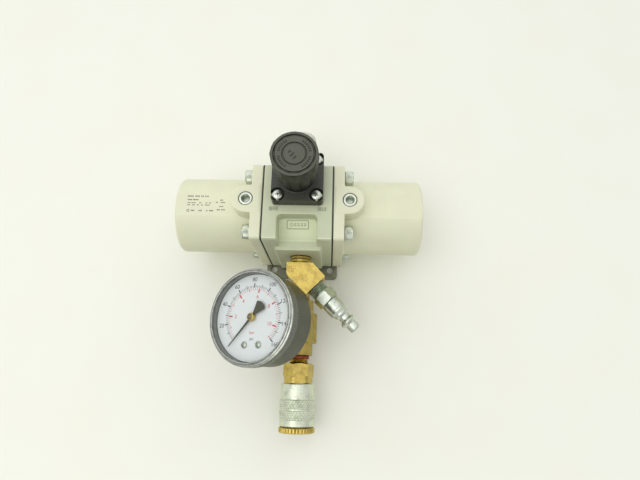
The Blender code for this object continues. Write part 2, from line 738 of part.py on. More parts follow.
def outlet_tee(gauge_axis):
    """Tee with a square middle that leans with the gauge, two run ends and a branch."""
    run = (PORT_X, 0, OUTLET_Z)
    near, far = -TEE_Y - TEE_HALF_RUN, -TEE_Y + TEE_HALF_RUN
    half = TEE_BLOCK
    tee = block((-half, -TEE_BLOCK_HALF, -half), (half, TEE_BLOCK_HALF, half), 0.6, gauge_axis)
    join(tee, rod(TEE_ARM_RADIUS, near, far, run, FORWARD, sides=18),
         rod(TEE_ARM_RADIUS, 0, TEE_HALF_RUN, parent=gauge_axis, sides=18))
    cut(tee, rod(FLOW_RADIUS, near - 2, far + 2, run, FORWARD, sides=12),
        rod(PORT_BORE, near - 2, near + 9.5, run, FORWARD),
        rod(PORT_BORE, far - 11.5, far + 2, run, FORWARD),
        rod(FLOW_RADIUS, 0, 30, parent=gauge_axis, sides=12),
        rod(PORT_BORE, TEE_HALF_RUN - 9.5, 30, parent=gauge_axis))
    make_part(tee, "outlet_tee", "brass")


def coupler():
    axis = empty("coupler_axis", (PORT_X, 0, OUTLET_Z), FORWARD)
    profile = [(COUPLER_BORE, COUPLER_END), (COUPLER_TUBE, COUPLER_END),
               (COUPLER_TUBE, COUPLER_SHOULDER - 2), (6.7, COUPLER_HEX - 0.2),
               (6.7, 89.0), (6.2, 88.2), (FLOW_RADIUS, 88.2),
               (FLOW_RADIUS, COUPLER_SEAT - 6), (COUPLER_BORE, COUPLER_SEAT - 6)]
    body = turned(profile, parent=axis, steps=24)
    nut = hexagon(COUPLER_HEX_SIZE, COUPLER_HEX, COUPLER_SHOULDER, parent=axis,
                  spin=math.radians(-40))
    cut(nut, rod(5.5, 90, 130, parent=axis))
    join(body, nut)
    make_part(body, "coupler_body", "brass")
    coupler_sleeve(axis)
    end_ring = turned([(COUPLER_TUBE + GAP, COUPLER_END), (12.2, COUPLER_END),
                       (12.7, COUPLER_END - 0.6), (12.7, COUPLER_SLEEVE_END + 0.4),
                       (COUPLER_TUBE + GAP, COUPLER_SLEEVE_END + 0.4)], parent=axis, steps=24)
    make_part(end_ring, "coupler_end_ring", "brass")
    valve = turned([(0, COUPLER_SEAT + 7), (3.6, COUPLER_SEAT + 7), (5.9, COUPLER_SEAT + 4),
                    (5.9, COUPLER_SEAT), (0, COUPLER_SEAT)], parent=axis, steps=16)
    make_part(valve, "coupler_valve", "brass")


def coupler_sleeve(axis):
    """Knurled sleeve; the wide bore at its rear lets it slide back over the hexagon."""
    inner, skirt = COUPLER_TUBE + GAP, 11.35
    front, rear = COUPLER_SLEEVE_END, COUPLER_SHOULDER + 0.3
    profile = [(inner, front), (SLEEVE_RADIUS - 0.5, front), (SLEEVE_RADIUS - 0.4, front - 9),
               (SLEEVE_RADIUS + 0.2, front - 9.4), (SLEEVE_RADIUS + 0.2, front - 20),
               (SLEEVE_RADIUS - 0.4, front - 20.4), (SLEEVE_RADIUS - 0.4, rear + 0.5),
               (SLEEVE_RADIUS - 0.8, rear), (skirt, rear), (skirt, rear + 8), (inner, rear + 8)]
    make_part(turned(profile, parent=axis, steps=24), "coupler_sleeve", "zinc_steel")


# --------------------------------------------------------------------- gauge

def gauge(axis):
    stem = turned([(2.5, 44.0), (STEM_RADIUS, 44.0), (STEM_RADIUS, 32.0), (PORT_THREAD, 24.0),
                   (PORT_THREAD, 12.0), (2.5, 12.0)], parent=axis, steps=16)
    flats = block((-7, -7, 24.0), (7, 7, 34.0), parent=axis)
    cut(flats, rod(4.5, 20, 40, parent=axis))
    join(stem, flats)
    make_part(stem, "gauge_stem", "brass")
    wall = CASE_WALL
    floor = GAUGE_BACK + wall
    hole = STEM_RADIUS + GAP
    case = turned([(CASE_RADIUS - wall, CASE_LIP), (CASE_RADIUS, CASE_LIP),
                   (CASE_RADIUS, GAUGE_BACK + 2), (CASE_RADIUS - 2, GAUGE_BACK),
                   (hole, GAUGE_BACK), (hole, floor), (CASE_RADIUS - wall - 1, floor),
                   (CASE_RADIUS - wall, floor + 1)], parent=axis, steps=36)
    make_part(case, "gauge_case", "case_black")
    inside = GAUGE_FRONT - LENS_THICKNESS
    lens = turned([(0, GAUGE_FRONT), (RIM_RADIUS - 3, GAUGE_FRONT), (RIM_RADIUS, 66.2),
                   (RIM_RADIUS, CASE_LIP - 3), (CASE_RADIUS + GAP, CASE_LIP - 3),
                   (CASE_RADIUS + GAP, CASE_LIP + GAP), (RIM_RADIUS - 3, CASE_LIP + GAP),
                   (RIM_RADIUS - 3, inside), (0, inside)], parent=axis, steps=36)
    make_part(lens, "gauge_lens", "clear_plastic")
    holes = [ring((0, 0), 1.6, 10)]
    holes += [ring((x, DIAL_SCREW_Y), 1.3, 8) for x in DIAL_SCREW_X]
    dial = plate([ring((0, 0), DIAL_RADIUS, 32), *holes], DIAL_THICKNESS,
                 (0, 0, DIAL_TOP - DIAL_THICKNESS / 2), parent=axis)
    make_part(dial, "gauge_dial", "dial_white")


def dial_screws(axis):
    top = DIAL_TOP + GAP
    for number, x in enumerate(DIAL_SCREW_X, 1):
        screw = turned([(0, top + 0.9), (1.4, top + 0.7), (2.2, top), (1.0, top), (1.0, top - 3.5),
                        (0, top - 3.5)], (x, DIAL_SCREW_Y, 0), parent=axis, steps=10)
        slot = block((x - 2.5, DIAL_SCREW_Y - 0.3, top + 0.4),
                     (x + 2.5, DIAL_SCREW_Y + 0.3, top + 2), parent=axis)
        cut(screw, slot)
        make_part(screw, f"dial_screw_{number}", "zinc_steel")


def gauge_pointer(axis):
    """Pointer on its arbor, resting at zero: 135 degrees left of the dial's top."""
    rest = math.radians(135)
    blade = [(-0.55, 0), (-0.22, 22.5), (0.22, 22.5), (0.55, 0), (1.3, -4.0), (4.2, -10.0),
             (0, -11.6), (-4.2, -10.0), (-1.3, -4.0)]
    turned_blade = [(x * math.cos(rest) - y * math.sin(rest),
                     x * math.sin(rest) + y * math.cos(rest)) for x, y in blade]
    pointer = plate([turned_blade], 0.5, (0, 0, POINTER_HEIGHT), parent=axis)
    hub = turned([(0, 66.2), (2.0, 66.0), (2.6, 65.4), (2.6, 63.4), (1.0, 63.0), (1.0, 54.0),
                  (0, 54.0)], parent=axis, steps=16)
    join(pointer, hub)
    make_part(pointer, "gauge_pointer", "case_black")


def bourdon_tube(axis):
    """C-shaped tube that bends with pressure, from the stem's top round the case."""
    radius = 19.0
    rise = [(0, -5.0, 47.0), (0, -9.0, 47.6), (2.0, -14.0, 48.5)]
    sweep = [(x, y, 49.0) for x, y in arc((0, 0), radius, -75, 165, 14)]
    tube = wire([*rise, *sweep], 1.8, parent=axis)
    make_part(tube, "bourdon_tube", "brass")


def gauge_movement(axis):
    """Movement block above the stem, with the hole that the pointer's arbor turns in."""
    frame = block((-8, -4.5, 51.5), (8, 4.5, 58.5), parent=axis)
    cut(frame, rod(1.4, 45, 65, parent=axis, sides=16))
    make_part(frame, "gauge_movement", "brass")


# ------------------------------------------------------- bracket and silencer

def mounting_bracket():
    corners = rectangle(-BRACKET_HALF, BRACKET_FRONT, BRACKET_HALF, BRACKET_REAR)
    outlines = [rounded(corners, 3.0)]
    for x in (-BRACKET_HOLE_X, BRACKET_HOLE_X):
        for y in (BRACKET_HOLE_FRONT, BRACKET_HOLE_REAR):
            outlines.append(ring((x, y), BRACKET_HOLE_RADIUS, 12))
    bracket = plate(outlines, BRACKET_THICKNESS, (0, 0, BRACKET_THICKNESS / 2))
    for x, y in bracket_screw_places():
        countersink = [(0, 4), (2.3, 4), (2.3, 2.3), (4.7, -0.1), (0, -0.1)]
        cut(bracket, turned(countersink, (x, y, 0), steps=10))
    make_part(bracket, "mounting_bracket", "bracket_steel")


def bracket_screws():
    profile = [(0, 11.8), (2.0, 11.8), (2.0, 2.3), (4.0, 0.3), (0, 0.3)]
    for number, (x, y) in enumerate(bracket_screw_places(), 1):
        make_part(turned(profile, (x, y, 0), steps=10), f"bracket_screw_{number}", "zinc_steel")


def silencer():
    axis = empty("silencer_axis", (0, 0, SILENCER_Z), REARWARD)
    nut_start = REAR_BOSS_FACE + GAP
    fitting = turned([(3.0, 39.0), (7.0, 39.0), (7.0, 31.0), (6.5, nut_start), (6.5, 18.5),
                      (3.0, 18.5)], parent=axis, steps=16)
    nut = hexagon(17.0, nut_start, SILENCER_NUT_END, parent=axis)
    cut(nut, rod(5.0, 20, 45, parent=axis))
    join(fitting, nut)
    make_part(fitting, "silencer_fitting", "white_plastic")
    start = SILENCER_NUT_END + GAP
    tip = arc((SILENCER_RADIUS - 3.0, SILENCER_END - 3.0), 3.0, 90, 0, 4)
    element = turned([(0, SILENCER_END), *tip, (SILENCER_RADIUS, start), (7.0 + GAP, start),
                      (7.0 + GAP, 39.5), (6.0, 39.5), (6.0, 65.0), (0, 65.0)], parent=axis)
    make_part(element, "silencer_element", "white_plastic")


def build():
    center_body()
    gaskets()
    cylinder_cover(-1, "left_cylinder_cover")
    cylinder_cover(1, "right_cylinder_cover")
    cover_screws()
    port_plugs()
    piston_set()
    rod_bush()
    changeover_spool()
    bonnet()
    bonnet_screws()
    diaphragm()
    pilot_valve()
    pivot = setting_screw()
    setting_spring(pivot)
    pressure_knob(pivot)
    inlet_elbow()
    inlet_plug()
    outlet_nipple()
    gauge_axis = empty("gauge_axis", (PORT_X, TEE_Y, OUTLET_Z), (0.0, -GAUGE_TILT, 0.0))
    outlet_tee(gauge_axis)
    coupler()
    gauge(gauge_axis)
    dial_screws(gauge_axis)
    gauge_pointer(gauge_axis)
    bourdon_tube(gauge_axis)
    gauge_movement(gauge_axis)
    mounting_bracket()
    bracket_screws()
    silencer()


build()
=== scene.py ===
"""Looks of the air pressure regulator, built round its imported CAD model.

Every piece is drawn in millimetres in its own frame and placed by the CAD nodes' boxes.
"""

import json
import math

import bmesh
import bpy
from mathutils import Euler, Matrix, Vector


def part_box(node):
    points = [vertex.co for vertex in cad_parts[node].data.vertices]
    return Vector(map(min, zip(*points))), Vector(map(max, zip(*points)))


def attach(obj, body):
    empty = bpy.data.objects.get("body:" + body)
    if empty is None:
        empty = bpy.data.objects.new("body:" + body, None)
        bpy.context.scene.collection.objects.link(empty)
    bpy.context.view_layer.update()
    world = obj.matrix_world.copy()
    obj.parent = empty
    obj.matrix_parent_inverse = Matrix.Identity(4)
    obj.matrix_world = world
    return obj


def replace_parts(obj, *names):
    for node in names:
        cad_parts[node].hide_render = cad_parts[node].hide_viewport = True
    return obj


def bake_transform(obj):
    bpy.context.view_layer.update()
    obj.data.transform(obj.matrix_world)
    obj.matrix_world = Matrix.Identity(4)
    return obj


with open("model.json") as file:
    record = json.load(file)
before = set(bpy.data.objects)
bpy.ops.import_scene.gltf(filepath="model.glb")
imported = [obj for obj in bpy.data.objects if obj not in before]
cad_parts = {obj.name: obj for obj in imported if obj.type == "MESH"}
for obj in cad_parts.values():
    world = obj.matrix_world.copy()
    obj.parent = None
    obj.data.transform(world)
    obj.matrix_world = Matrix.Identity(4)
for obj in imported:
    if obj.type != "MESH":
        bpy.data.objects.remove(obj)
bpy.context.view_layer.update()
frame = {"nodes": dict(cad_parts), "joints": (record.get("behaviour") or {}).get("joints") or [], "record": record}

MM = 0.001
GAP = 0.3                      # clearance that the CAD keeps between neighbours

# Directions for pieces that are drawn along their own +Z
UP = (0.0, 0.0, 0.0)
RIGHT = (math.pi / 2, 0.0, math.pi / 2)       # own X, Y, Z become +Y, +Z, +X
LEFT = (math.pi / 2, 0.0, -math.pi / 2)
FORWARD = (math.pi / 2, 0.0, 0.0)             # own Z becomes -Y
REARWARD = (-math.pi / 2, 0.0, 0.0)
PLUG_TURN = (math.pi / 2, 0.0, math.pi / 4)   # 45 degrees between FORWARD and RIGHT

RECORD = frame["record"]
BODY_OF = {node: body for body, nodes in RECORD["behaviour"]["bodies"].items() for node in nodes}
SLOT_OF = {part["node"]: part["material_slot"] for part in RECORD["subparts"]}


# ------------------------------------------------------- places, from the CAD

def span(node):
    """Lowest and highest corner of a CAD node, in millimetres."""
    low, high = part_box(node)
    return low / MM, high / MM


def middle(node):
    low, high = span(node)
    return (low + high) / 2


def joint(name):
    return next(j for j in frame["joints"] if j["name"] == name)


SIDE_LOW, SIDE_HIGH = span("right_gasket")    # outline shared by body, gaskets and flanges
BODY_HALF = SIDE_LOW.x - GAP
BODY_LOW, BODY_HIGH = span("center_body")
COVER_LOW, COVER_HIGH = span("right_cylinder_cover")
AXIS_Z = middle("piston_rod").z
BOSS_X = middle("right_port_plug").x
BOSS_TOP = COVER_HIGH.z
KNOB_Y = middle("pressure_knob").y
KNOB_LOW, KNOB_HIGH = span("pressure_knob")
BONNET_LOW, BONNET_HIGH = span("bonnet")
ELBOW_LOW, ELBOW_HIGH = span("inlet_elbow")
ELBOW_HALF = (ELBOW_HIGH.z - ELBOW_LOW.z) / 2
INLET_Z = middle("inlet_elbow").z
PORT_X = ELBOW_LOW.x + ELBOW_HALF
CORNER = ELBOW_HALF * math.sin(math.pi / 4)
ELBOW_OUTLET = Vector((ELBOW_HIGH.x - CORNER, ELBOW_LOW.y + CORNER))
OUTLET_Z = middle("outlet_nipple").z
SILENCER_Z = middle("silencer_fitting").z
INLET_AT = (PORT_X, 0, INLET_Z)
OUTLET_AT = (PORT_X, 0, OUTLET_Z)
KNOB_AT = (0, KNOB_Y, 0)
POINTER = joint("pointer_sweep")
GAUGE_AT = tuple(Vector(POINTER["pos_m"]) / MM)
GAUGE_TURN = (0.0, -math.atan2(POINTER["axis"][0], -POINTER["axis"][2]), 0.0)

SIDES = ((-1, "left"), (1, "right"))
BODY_CORNER = 2.5
PORT_BORE = 7.15               # drilled for 1/4 in pipe thread
THREAD_RADIUS = 6.85
THREAD_PITCH = 1.41
THREAD_DEPTH = 0.75
SCREW_Y = 20.2                 # cover screws, from the cylinders' axis
SCREW_Z = 26.5
BONNET_SCREW = 12.8


# --------------------------------------------------------------- mesh helpers

def here(at, turn):
    return Matrix.Translation(Vector(at) * MM) @ Euler(turn).to_matrix().to_4x4()


def show(name, data):
    item = bpy.data.objects.new(name, data)
    bpy.context.scene.collection.objects.link(item)
    return item


def piece(name, mesh, at=(0, 0, 0), turn=UP):
    item = show(name, mesh)
    item.matrix_world = here(at, turn)
    return item


def mesh_from(shape, name="shape"):
    mesh = bpy.data.meshes.new(name)
    bmesh.ops.recalc_face_normals(shape, faces=shape.faces[:])
    shape.to_mesh(mesh)
    shape.free()
    return mesh


def evaluated_mesh(item):
    bpy.context.view_layer.update()
    depsgraph = bpy.context.evaluated_depsgraph_get()
    return bpy.data.meshes.new_from_object(item.evaluated_get(depsgraph))


def apply(item):
    """Keep what an object's modifiers make of it, and drop the modifiers."""
    mesh = evaluated_mesh(item)
    item.modifiers.clear()
    item.data = mesh
    return item


def modify(item, kind, **settings):
    modifier = item.modifiers.new(kind.lower(), kind)
    for key, value in settings.items():
        setattr(modifier, key, value)


def combine(item, tools, operation):
    for tool in tools:
        modify(item, "BOOLEAN", operation=operation, solver="EXACT", object=tool)
    apply(item)
    for tool in tools:
        bpy.data.objects.remove(tool)
    return item


def join(item, *tools):
    return combine(item, tools, "UNION")


def cut(item, *tools):
    return combine(item, tools, "DIFFERENCE")


def keep_inside(item, tool):
    return combine(item, [tool], "INTERSECT")


def bevel(item, width, segments=3, angle=30):
    modify(item, "BEVEL", width=width * MM, segments=segments, limit_method="ANGLE",
           angle_limit=math.radians(angle))
    return apply(item)


def cast(item, voxel=0.45, rounds=8, keep=0.3):
    """Soft edges and fillets of a casting: an even mesh, smoothed and then thinned."""
    modify(item, "REMESH", mode="VOXEL", voxel_size=voxel * MM)
    modify(item, "SMOOTH", factor=0.5, iterations=rounds)
    modify(item, "DECIMATE", ratio=keep)
    return apply(item)


def box(low, high, edge=0.0, at=(0, 0, 0), turn=UP, name="box"):
    low, high = Vector(low), Vector(high)
    shape = bmesh.new()
    bmesh.ops.create_cube(shape, size=1.0)
    bmesh.ops.scale(shape, vec=(high - low) * MM, verts=shape.verts[:])
    bmesh.ops.translate(shape, vec=(low + high) / 2 * MM, verts=shape.verts[:])
    item = piece(name, mesh_from(shape), at, turn)
    return bevel(item, edge) if edge else item


def prism(sides, across, start, end, at=(0, 0, 0), turn=UP, spin=0.0, name="prism"):
    """Straight bar with that many sides, across flats wide, along its own Z."""
    corner = across / 2 / math.cos(math.pi / sides)
    shape = bmesh.new()
    bmesh.ops.create_cone(shape, cap_ends=True, segments=sides, radius1=corner * MM,
                          radius2=corner * MM, depth=(end - start) * MM)
    bmesh.ops.translate(shape, vec=(0, 0, (start + end) / 2 * MM), verts=shape.verts[:])
    bmesh.ops.rotate(shape, matrix=Matrix.Rotation(spin, 3, "Z"), verts=shape.verts[:])
    return piece(name, mesh_from(shape), at, turn)


def rod(radius, start, end, at=(0, 0, 0), turn=UP, sides=64):
    return prism(sides, 2 * radius, start, end, at, turn)


def eased(points, radius, count=3):
    """Profile with its inner corners rounded, each by at most a third of its sides."""
    ring = points[0][0] > 0
    soft = [] if ring else [points[0]]
    total = len(points)
    for i in range(0 if ring else 1, total if ring else total - 1):
        spot = Vector(points[i])
        before = Vector(points[i - 1]) - spot
        after = Vector(points[(i + 1) % total]) - spot
        if before.length < 1e-6 or after.length < 1e-6 or before.angle(after) > math.radians(172):
            soft.append(tuple(spot))
            continue
        start = spot + before * min(radius / before.length, 0.33)
        end = spot + after * min(radius / after.length, 0.33)
        for step in range(count + 1):
            t = step / count
            soft.append(tuple(start * (1 - t) ** 2 + spot * 2 * t * (1 - t) + end * t ** 2))
    return soft if ring else [*soft, points[-1]]


def turned(name, profile, at=(0, 0, 0), turn=UP, steps=96, relief=None):
    """Solid of revolution round its own Z through (radius, height) points.

    A profile that starts off the axis closes on itself.  relief(angle, radius, height)
    is added to the radius.
    """
    shape = bmesh.new()
    columns = []
    for step in range(steps):
        angle = 2 * math.pi * step / steps
        column = []
        for radius, height in profile:
            reach = radius + (relief(angle, radius, height) if relief else 0.0)
            spot = (reach * math.cos(angle) * MM, reach * math.sin(angle) * MM, height * MM)
            column.append(shape.verts.new(spot))
        columns.append(column)
    count = len(profile) if profile[0][0] > 0 else len(profile) - 1
    for step in range(steps):
        near, far = columns[step], columns[(step + 1) % steps]
        for i in range(count):
            j = (i + 1) % len(profile)
            shape.faces.new((near[i], near[j], far[j], far[i]))
    bmesh.ops.remove_doubles(shape, verts=shape.verts[:], dist=1e-7)
    return piece(name, mesh_from(shape), at, turn)


def plate(name, outlines, thickness, at=(0, 0, 0), turn=UP):
    """Flat outline and its holes, extruded evenly about its own XY plane."""
    curve = bpy.data.curves.new("outline", "CURVE")
    curve.dimensions = "2D"
    curve.fill_mode = "BOTH"
    curve.extrude = thickness / 2 * MM
    for outline in outlines:
        spline = curve.splines.new("POLY")
        spline.points.add(len(outline) - 1)
        for point, (x, y) in zip(spline.points, outline):
            point.co = (x * MM, y * MM, 0.0, 1.0)
        spline.use_cyclic_u = True
    return piece(name, mesh_of_curve(curve), at, turn)


def mesh_of_curve(curve):
    guide = show("guide", curve)
    shape = bmesh.new()
    shape.from_mesh(evaluated_mesh(guide))
    bpy.data.objects.remove(guide)
    bmesh.ops.remove_doubles(shape, verts=shape.verts[:], dist=0.000001)
    return mesh_from(shape)


def wire(name, points, radius, closed=False, at=(0, 0, 0), turn=UP, sides=4):
    curve = bpy.data.curves.new("wire", "CURVE")
    curve.dimensions = "3D"
    curve.bevel_depth = radius * MM
    curve.bevel_resolution = sides
    curve.use_fill_caps = True
    spline = curve.splines.new("POLY")
    spline.points.add(len(points) - 1)
    for point, spot in zip(spline.points, points):
        point.co = (*(Vector(spot) * MM), 1.0)
    spline.use_cyclic_u = closed
    return piece(name, mesh_of_curve(curve), at, turn)


def lettering(words, size, at, turn, thickness=0.04):
    curve = bpy.data.curves.new("words", "FONT")
    curve.body = words
    curve.size = size * MM
    curve.extrude = thickness / 2 * MM
    curve.align_x = "CENTER"
    curve.align_y = "CENTER"
    curve.resolution_u = 4
    return piece("words", mesh_of_curve(curve), at, turn)


def taken_mesh(item):
    """The mesh of an object that was only needed to shape it."""
    mesh = item.data
    bpy.data.objects.remove(item)
    return mesh


def spun(degrees):
    return Matrix.Rotation(math.radians(degrees), 4, "Z")


def merge(name, items):
    """One object with the meshes of several, its frame at the origin."""
    shape = bmesh.new()
    for item in items:
        mesh = item.data.copy()
        mesh.transform(item.matrix_world)
        shape.from_mesh(mesh)
        bpy.data.objects.remove(item)
        bpy.data.meshes.remove(mesh)
    mesh = bpy.data.meshes.new(name)
    shape.to_mesh(mesh)
    shape.free()
    return piece(name, mesh)


def arc(centre, radius, start, end, count):
    angles = [math.radians(start + (end - start) * i / count) for i in range(count + 1)]
    return [(centre[0] + radius * math.cos(a), centre[1] + radius * math.sin(a)) for a in angles]


def ring(centre, radius, count=64):
    return arc(centre, radius, 0, 360, count)[:-1]


def rounded(corners, radius, count=6):
    """Outline with each corner of a convex polygon rounded to radius."""
    points = []
    for i, corner in enumerate(corners):
        spot = Vector(corner)
        before = (Vector(corners[i - 1]) - spot).normalized()
        after = (Vector(corners[(i + 1) % len(corners)]) - spot).normalized()
        half = before.angle(after) / 2
        reach = radius / math.tan(half)
        centre = spot + (before + after).normalized() * radius / math.sin(half)
        start = spot + before * reach - centre
        end = spot + after * reach - centre
        for step in range(count + 1):
            spoke = start.slerp(end, step / count).normalized()
            points.append(tuple(centre + spoke * radius))
    return points


def rectangle(x_low, y_low, x_high, y_high):
    return [(x_low, y_low), (x_high, y_low), (x_high, y_high), (x_low, y_high)]


def triangle_wave(turns):
    """0 at whole turns and 1 halfway between them."""
    return 1 - abs(2 * (turns % 1.0) - 1)


def fine(start, end, step):
    """Evenly spaced heights from start to end, about step apart."""
    count = max(1, round(abs(end - start) / step))
    return [start + (end - start) * i / count for i in range(count + 1)]


def thread_line(start, end, radius=THREAD_RADIUS):
    """Profile points close enough together to carry a pipe thread."""
    return [(radius, height) for height in fine(start, end, 0.18)]


def thread_relief(*ranges):
    """Helical pipe thread between the heights of each range, for turned()."""
    def relief(angle, _radius, height):
        if not any(low < height < high for low, high in ranges):
            return 0.0
        turns = height / THREAD_PITCH - angle / (2 * math.pi)
        return -THREAD_DEPTH * triangle_wave(turns)
    return relief


# ------------------------------------------------------------------ materials

class Surface:
    """A Principled material with helpers that add procedural detail to it."""

    def __init__(self, name, colour, metallic=0.0, roughness=0.5, specular=0.5, alpha=1.0):
        self.material = bpy.data.materials.new(name)
        self.material.use_nodes = True
        self.tree = self.material.node_tree
        self.shader = self.tree.nodes["Principled BSDF"]
        for key, value in (("Metallic", metallic), ("Roughness", roughness),
                           ("Specular IOR Level", specular), ("Base Color", (*colour, 1.0)),
                           ("Alpha", alpha)):
            self.shader.inputs[key].default_value = value
        self.place = self.add("ShaderNodeTexCoord").outputs["Object"]
        self.colour = None
        self.base = colour
        self.height = None

    @classmethod
    def reopen(cls, material):
        """The same helpers on a material that is already built."""
        surface = cls.__new__(cls)
        surface.material, surface.tree = material, material.node_tree
        surface.shader = surface.tree.nodes["Principled BSDF"]
        surface.colour = surface.shader.inputs["Base Color"].links[0].from_socket
        return surface

    def add(self, kind, **settings):
        node = self.tree.nodes.new(kind)
        for key, value in settings.items():
            setattr(node, key, value)
        return node

    def link(self, source, target):
        self.tree.links.new(source, target)

    def stretched(self, scale):
        mapping = self.add("ShaderNodeMapping")
        mapping.inputs["Scale"].default_value = scale
        self.link(self.place, mapping.inputs["Vector"])
        return mapping.outputs["Vector"]

    def noise(self, size, detail=3.0, roughness=0.5, stretch=(1, 1, 1)):
        """Noise with spots about size millimetres across, from 0 to 1."""
        node = self.add("ShaderNodeTexNoise")
        node.inputs["Scale"].default_value = 1.0 / (size * MM)
        node.inputs["Detail"].default_value = detail
        node.inputs["Roughness"].default_value = roughness
        self.link(self.stretched(stretch), node.inputs["Vector"])
        return node.outputs["Fac"]

    def cells(self, size):
        node = self.add("ShaderNodeTexVoronoi", feature="F1")
        node.inputs["Scale"].default_value = 1.0 / (size * MM)
        self.link(self.place, node.inputs["Vector"])
        return node.outputs["Distance"]

    def between(self, value, low, high, out_low=0.0, out_high=1.0):
        """Remap value so that low to high becomes out_low to out_high, held beyond them."""
        node = self.add("ShaderNodeMapRange")
        self.link(value, node.inputs["Value"])
        for key, number in zip(("From Min", "From Max", "To Min", "To Max"),
                               (low, high, out_low, out_high)):
            node.inputs[key].default_value = number
        return node.outputs["Result"]

    def tint(self, mask, colour, share=1.0):
        """Blend the base colour towards another where mask is 1."""
        mix = self.add("ShaderNodeMix", data_type="RGBA")
        scaled = self.add("ShaderNodeMath", operation="MULTIPLY")
        scaled.inputs[1].default_value = share
        self.link(mask, scaled.inputs[0])
        self.link(scaled.outputs[0], mix.inputs["Factor"])
        if self.colour is None:
            mix.inputs["A"].default_value = (*self.base, 1.0)
        else:
            self.link(self.colour, mix.inputs["A"])
        mix.inputs["B"].default_value = (*colour, 1.0)
        self.colour = mix.outputs["Result"]
        self.link(self.colour, self.shader.inputs["Base Color"])
        return self

    def patches(self, size, detail, low, high, colour, share):
        """Cloudy patches of another colour, about size millimetres across."""
        return self.tint(self.between(self.noise(size, detail), low, high), colour, share)

    def rough(self, mask, low, high):
        self.link(self.between(mask, 0.3, 0.7, low, high), self.shader.inputs["Roughness"])
        return self

    def bump(self, height, depth):
        """Add relief that many millimetres deep."""
        node = self.add("ShaderNodeBump")
        node.inputs["Distance"].default_value = depth * MM
        self.link(height, node.inputs["Height"])
        if self.height is not None:
            self.link(self.height, node.inputs["Normal"])
        self.height = node.outputs["Normal"]
        self.link(self.height, self.shader.inputs["Normal"])
        return self

    def recess_shade(self, colour, share=0.8, reach=0.7):
        """Painted shade: darken grooves and pockets that are about that many millimetres deep."""
        hidden = self.add("ShaderNodeAmbientOcclusion", samples=8)
        hidden.inputs["Distance"].default_value = reach * MM
        return self.tint(self.between(hidden.outputs["AO"], 0.92, 0.45), colour, share)

    def dust_and_sheen(self, colour, share):
        """Lighten what faces up: dust, and a painted sheen from above."""
        facing = self.add("ShaderNodeSeparateXYZ")
        self.link(self.add("ShaderNodeNewGeometry").outputs["Normal"], facing.inputs[0])
        return self.tint(self.between(facing.outputs["Z"], 0.75, 0.98), colour, share)


def paint(name, colour, dirt_and_shade, grain=0.05):
    """Satin paint on a die casting: fine orange peel, faint handling marks, specks, and painted shade in its
    recesses.
    """
    surface = Surface(name, colour, roughness=0.42)
    surface.patches(14.0, 4.0, 0.42, 0.72, dirt_and_shade, 0.22)
    surface.patches(0.9, 2.0, 0.66, 0.74, dirt_and_shade, 0.35)
    # Painted shade: darker where ambient occlusion finds a recess.
    surface.recess_shade(dirt_and_shade, 0.55, 1.2)
    surface.rough(surface.noise(5.0, 3.0), 0.36, 0.52)
    surface.bump(surface.noise(0.8, 2.0), grain)
    surface.bump(surface.noise(6.0, 2.0), 0.05)
    return surface.material


def body_paint():
    """Cast body's paint, with painted light: paler on the faces that slope like the window's floor."""
    material = paint("grey_green_paint", GREY_GREEN, (0.42, 0.44, 0.30), grain=0.09)
    surface = Surface.reopen(material)
    facing = surface.add("ShaderNodeSeparateXYZ")
    surface.link(surface.add("ShaderNodeNewGeometry").outputs["Normal"], facing.inputs[0])
    # Painted light: faces that lean like the window's floor are lightened.
    leaning = surface.add("ShaderNodeMath", operation="MULTIPLY")
    surface.link(surface.between(facing.outputs["Y"], -0.36, -0.46), leaning.inputs[0])
    surface.link(surface.between(facing.outputs["Z"], 0.70, 0.80), leaning.inputs[1])
    surface.tint(leaning.outputs[0], tuple(1.42 * c for c in GREY_GREEN), 0.85)
    return material


def plated(name, colour, shade, low=0.2, high=0.38, scratch=(1, 1, 14), dirt_and_shade=0.6):
    """Bright plating with cloudy tarnish, fine turning marks, and painted shade in its grooves and pockets."""
    surface = Surface(name, colour, metallic=1.0)
    surface.patches(3.5, 4.0, 0.45, 0.7, shade, 0.55)
    surface.patches(0.7, 3.0, 0.56, 0.68, shade, 0.5)
    # Painted shade in fine grooves and in deeper pockets.
    surface.recess_shade(tuple(0.35 * c for c in shade), dirt_and_shade, 0.6)
    surface.recess_shade(tuple(0.35 * c for c in shade), 0.7 * dirt_and_shade, 4.0)
    surface.rough(surface.noise(2.0, 4.0), low, high)
    surface.bump(surface.noise(1.6, 3.0, stretch=scratch), 0.012)
    return surface.material


def brass_finish(name, colour, tarnish, low, high, grain=0.02):
    """Machined brass: tool marks both ways, darker spots, dulled patches, and painted shade in its grooves."""
    surface = Surface(name, colour, metallic=1.0)
    surface.patches(5.0, 5.0, 0.44, 0.66, tarnish, 0.45)
    surface.patches(0.6, 3.0, 0.60, 0.68, tarnish, 0.6)
    surface.patches(0.35, 2.0, 0.63, 0.69, (0.09, 0.06, 0.02), 0.5)
    # Painted shade in grooves.
    surface.recess_shade(tuple(0.4 * c for c in tarnish), 0.8, 0.9)
    streaks = surface.noise(2.4, 4.0, stretch=(0.4, 9, 1))
    surface.tint(surface.between(streaks, 0.55, 0.7), tarnish, 0.3)
    surface.rough(surface.noise(1.5, 4.0), low, high)
    surface.bump(surface.noise(1.8, 3.0, stretch=(0.5, 8, 1)), grain)
    surface.bump(surface.noise(0.5, 2.0), grain * 0.6)
    return surface.material


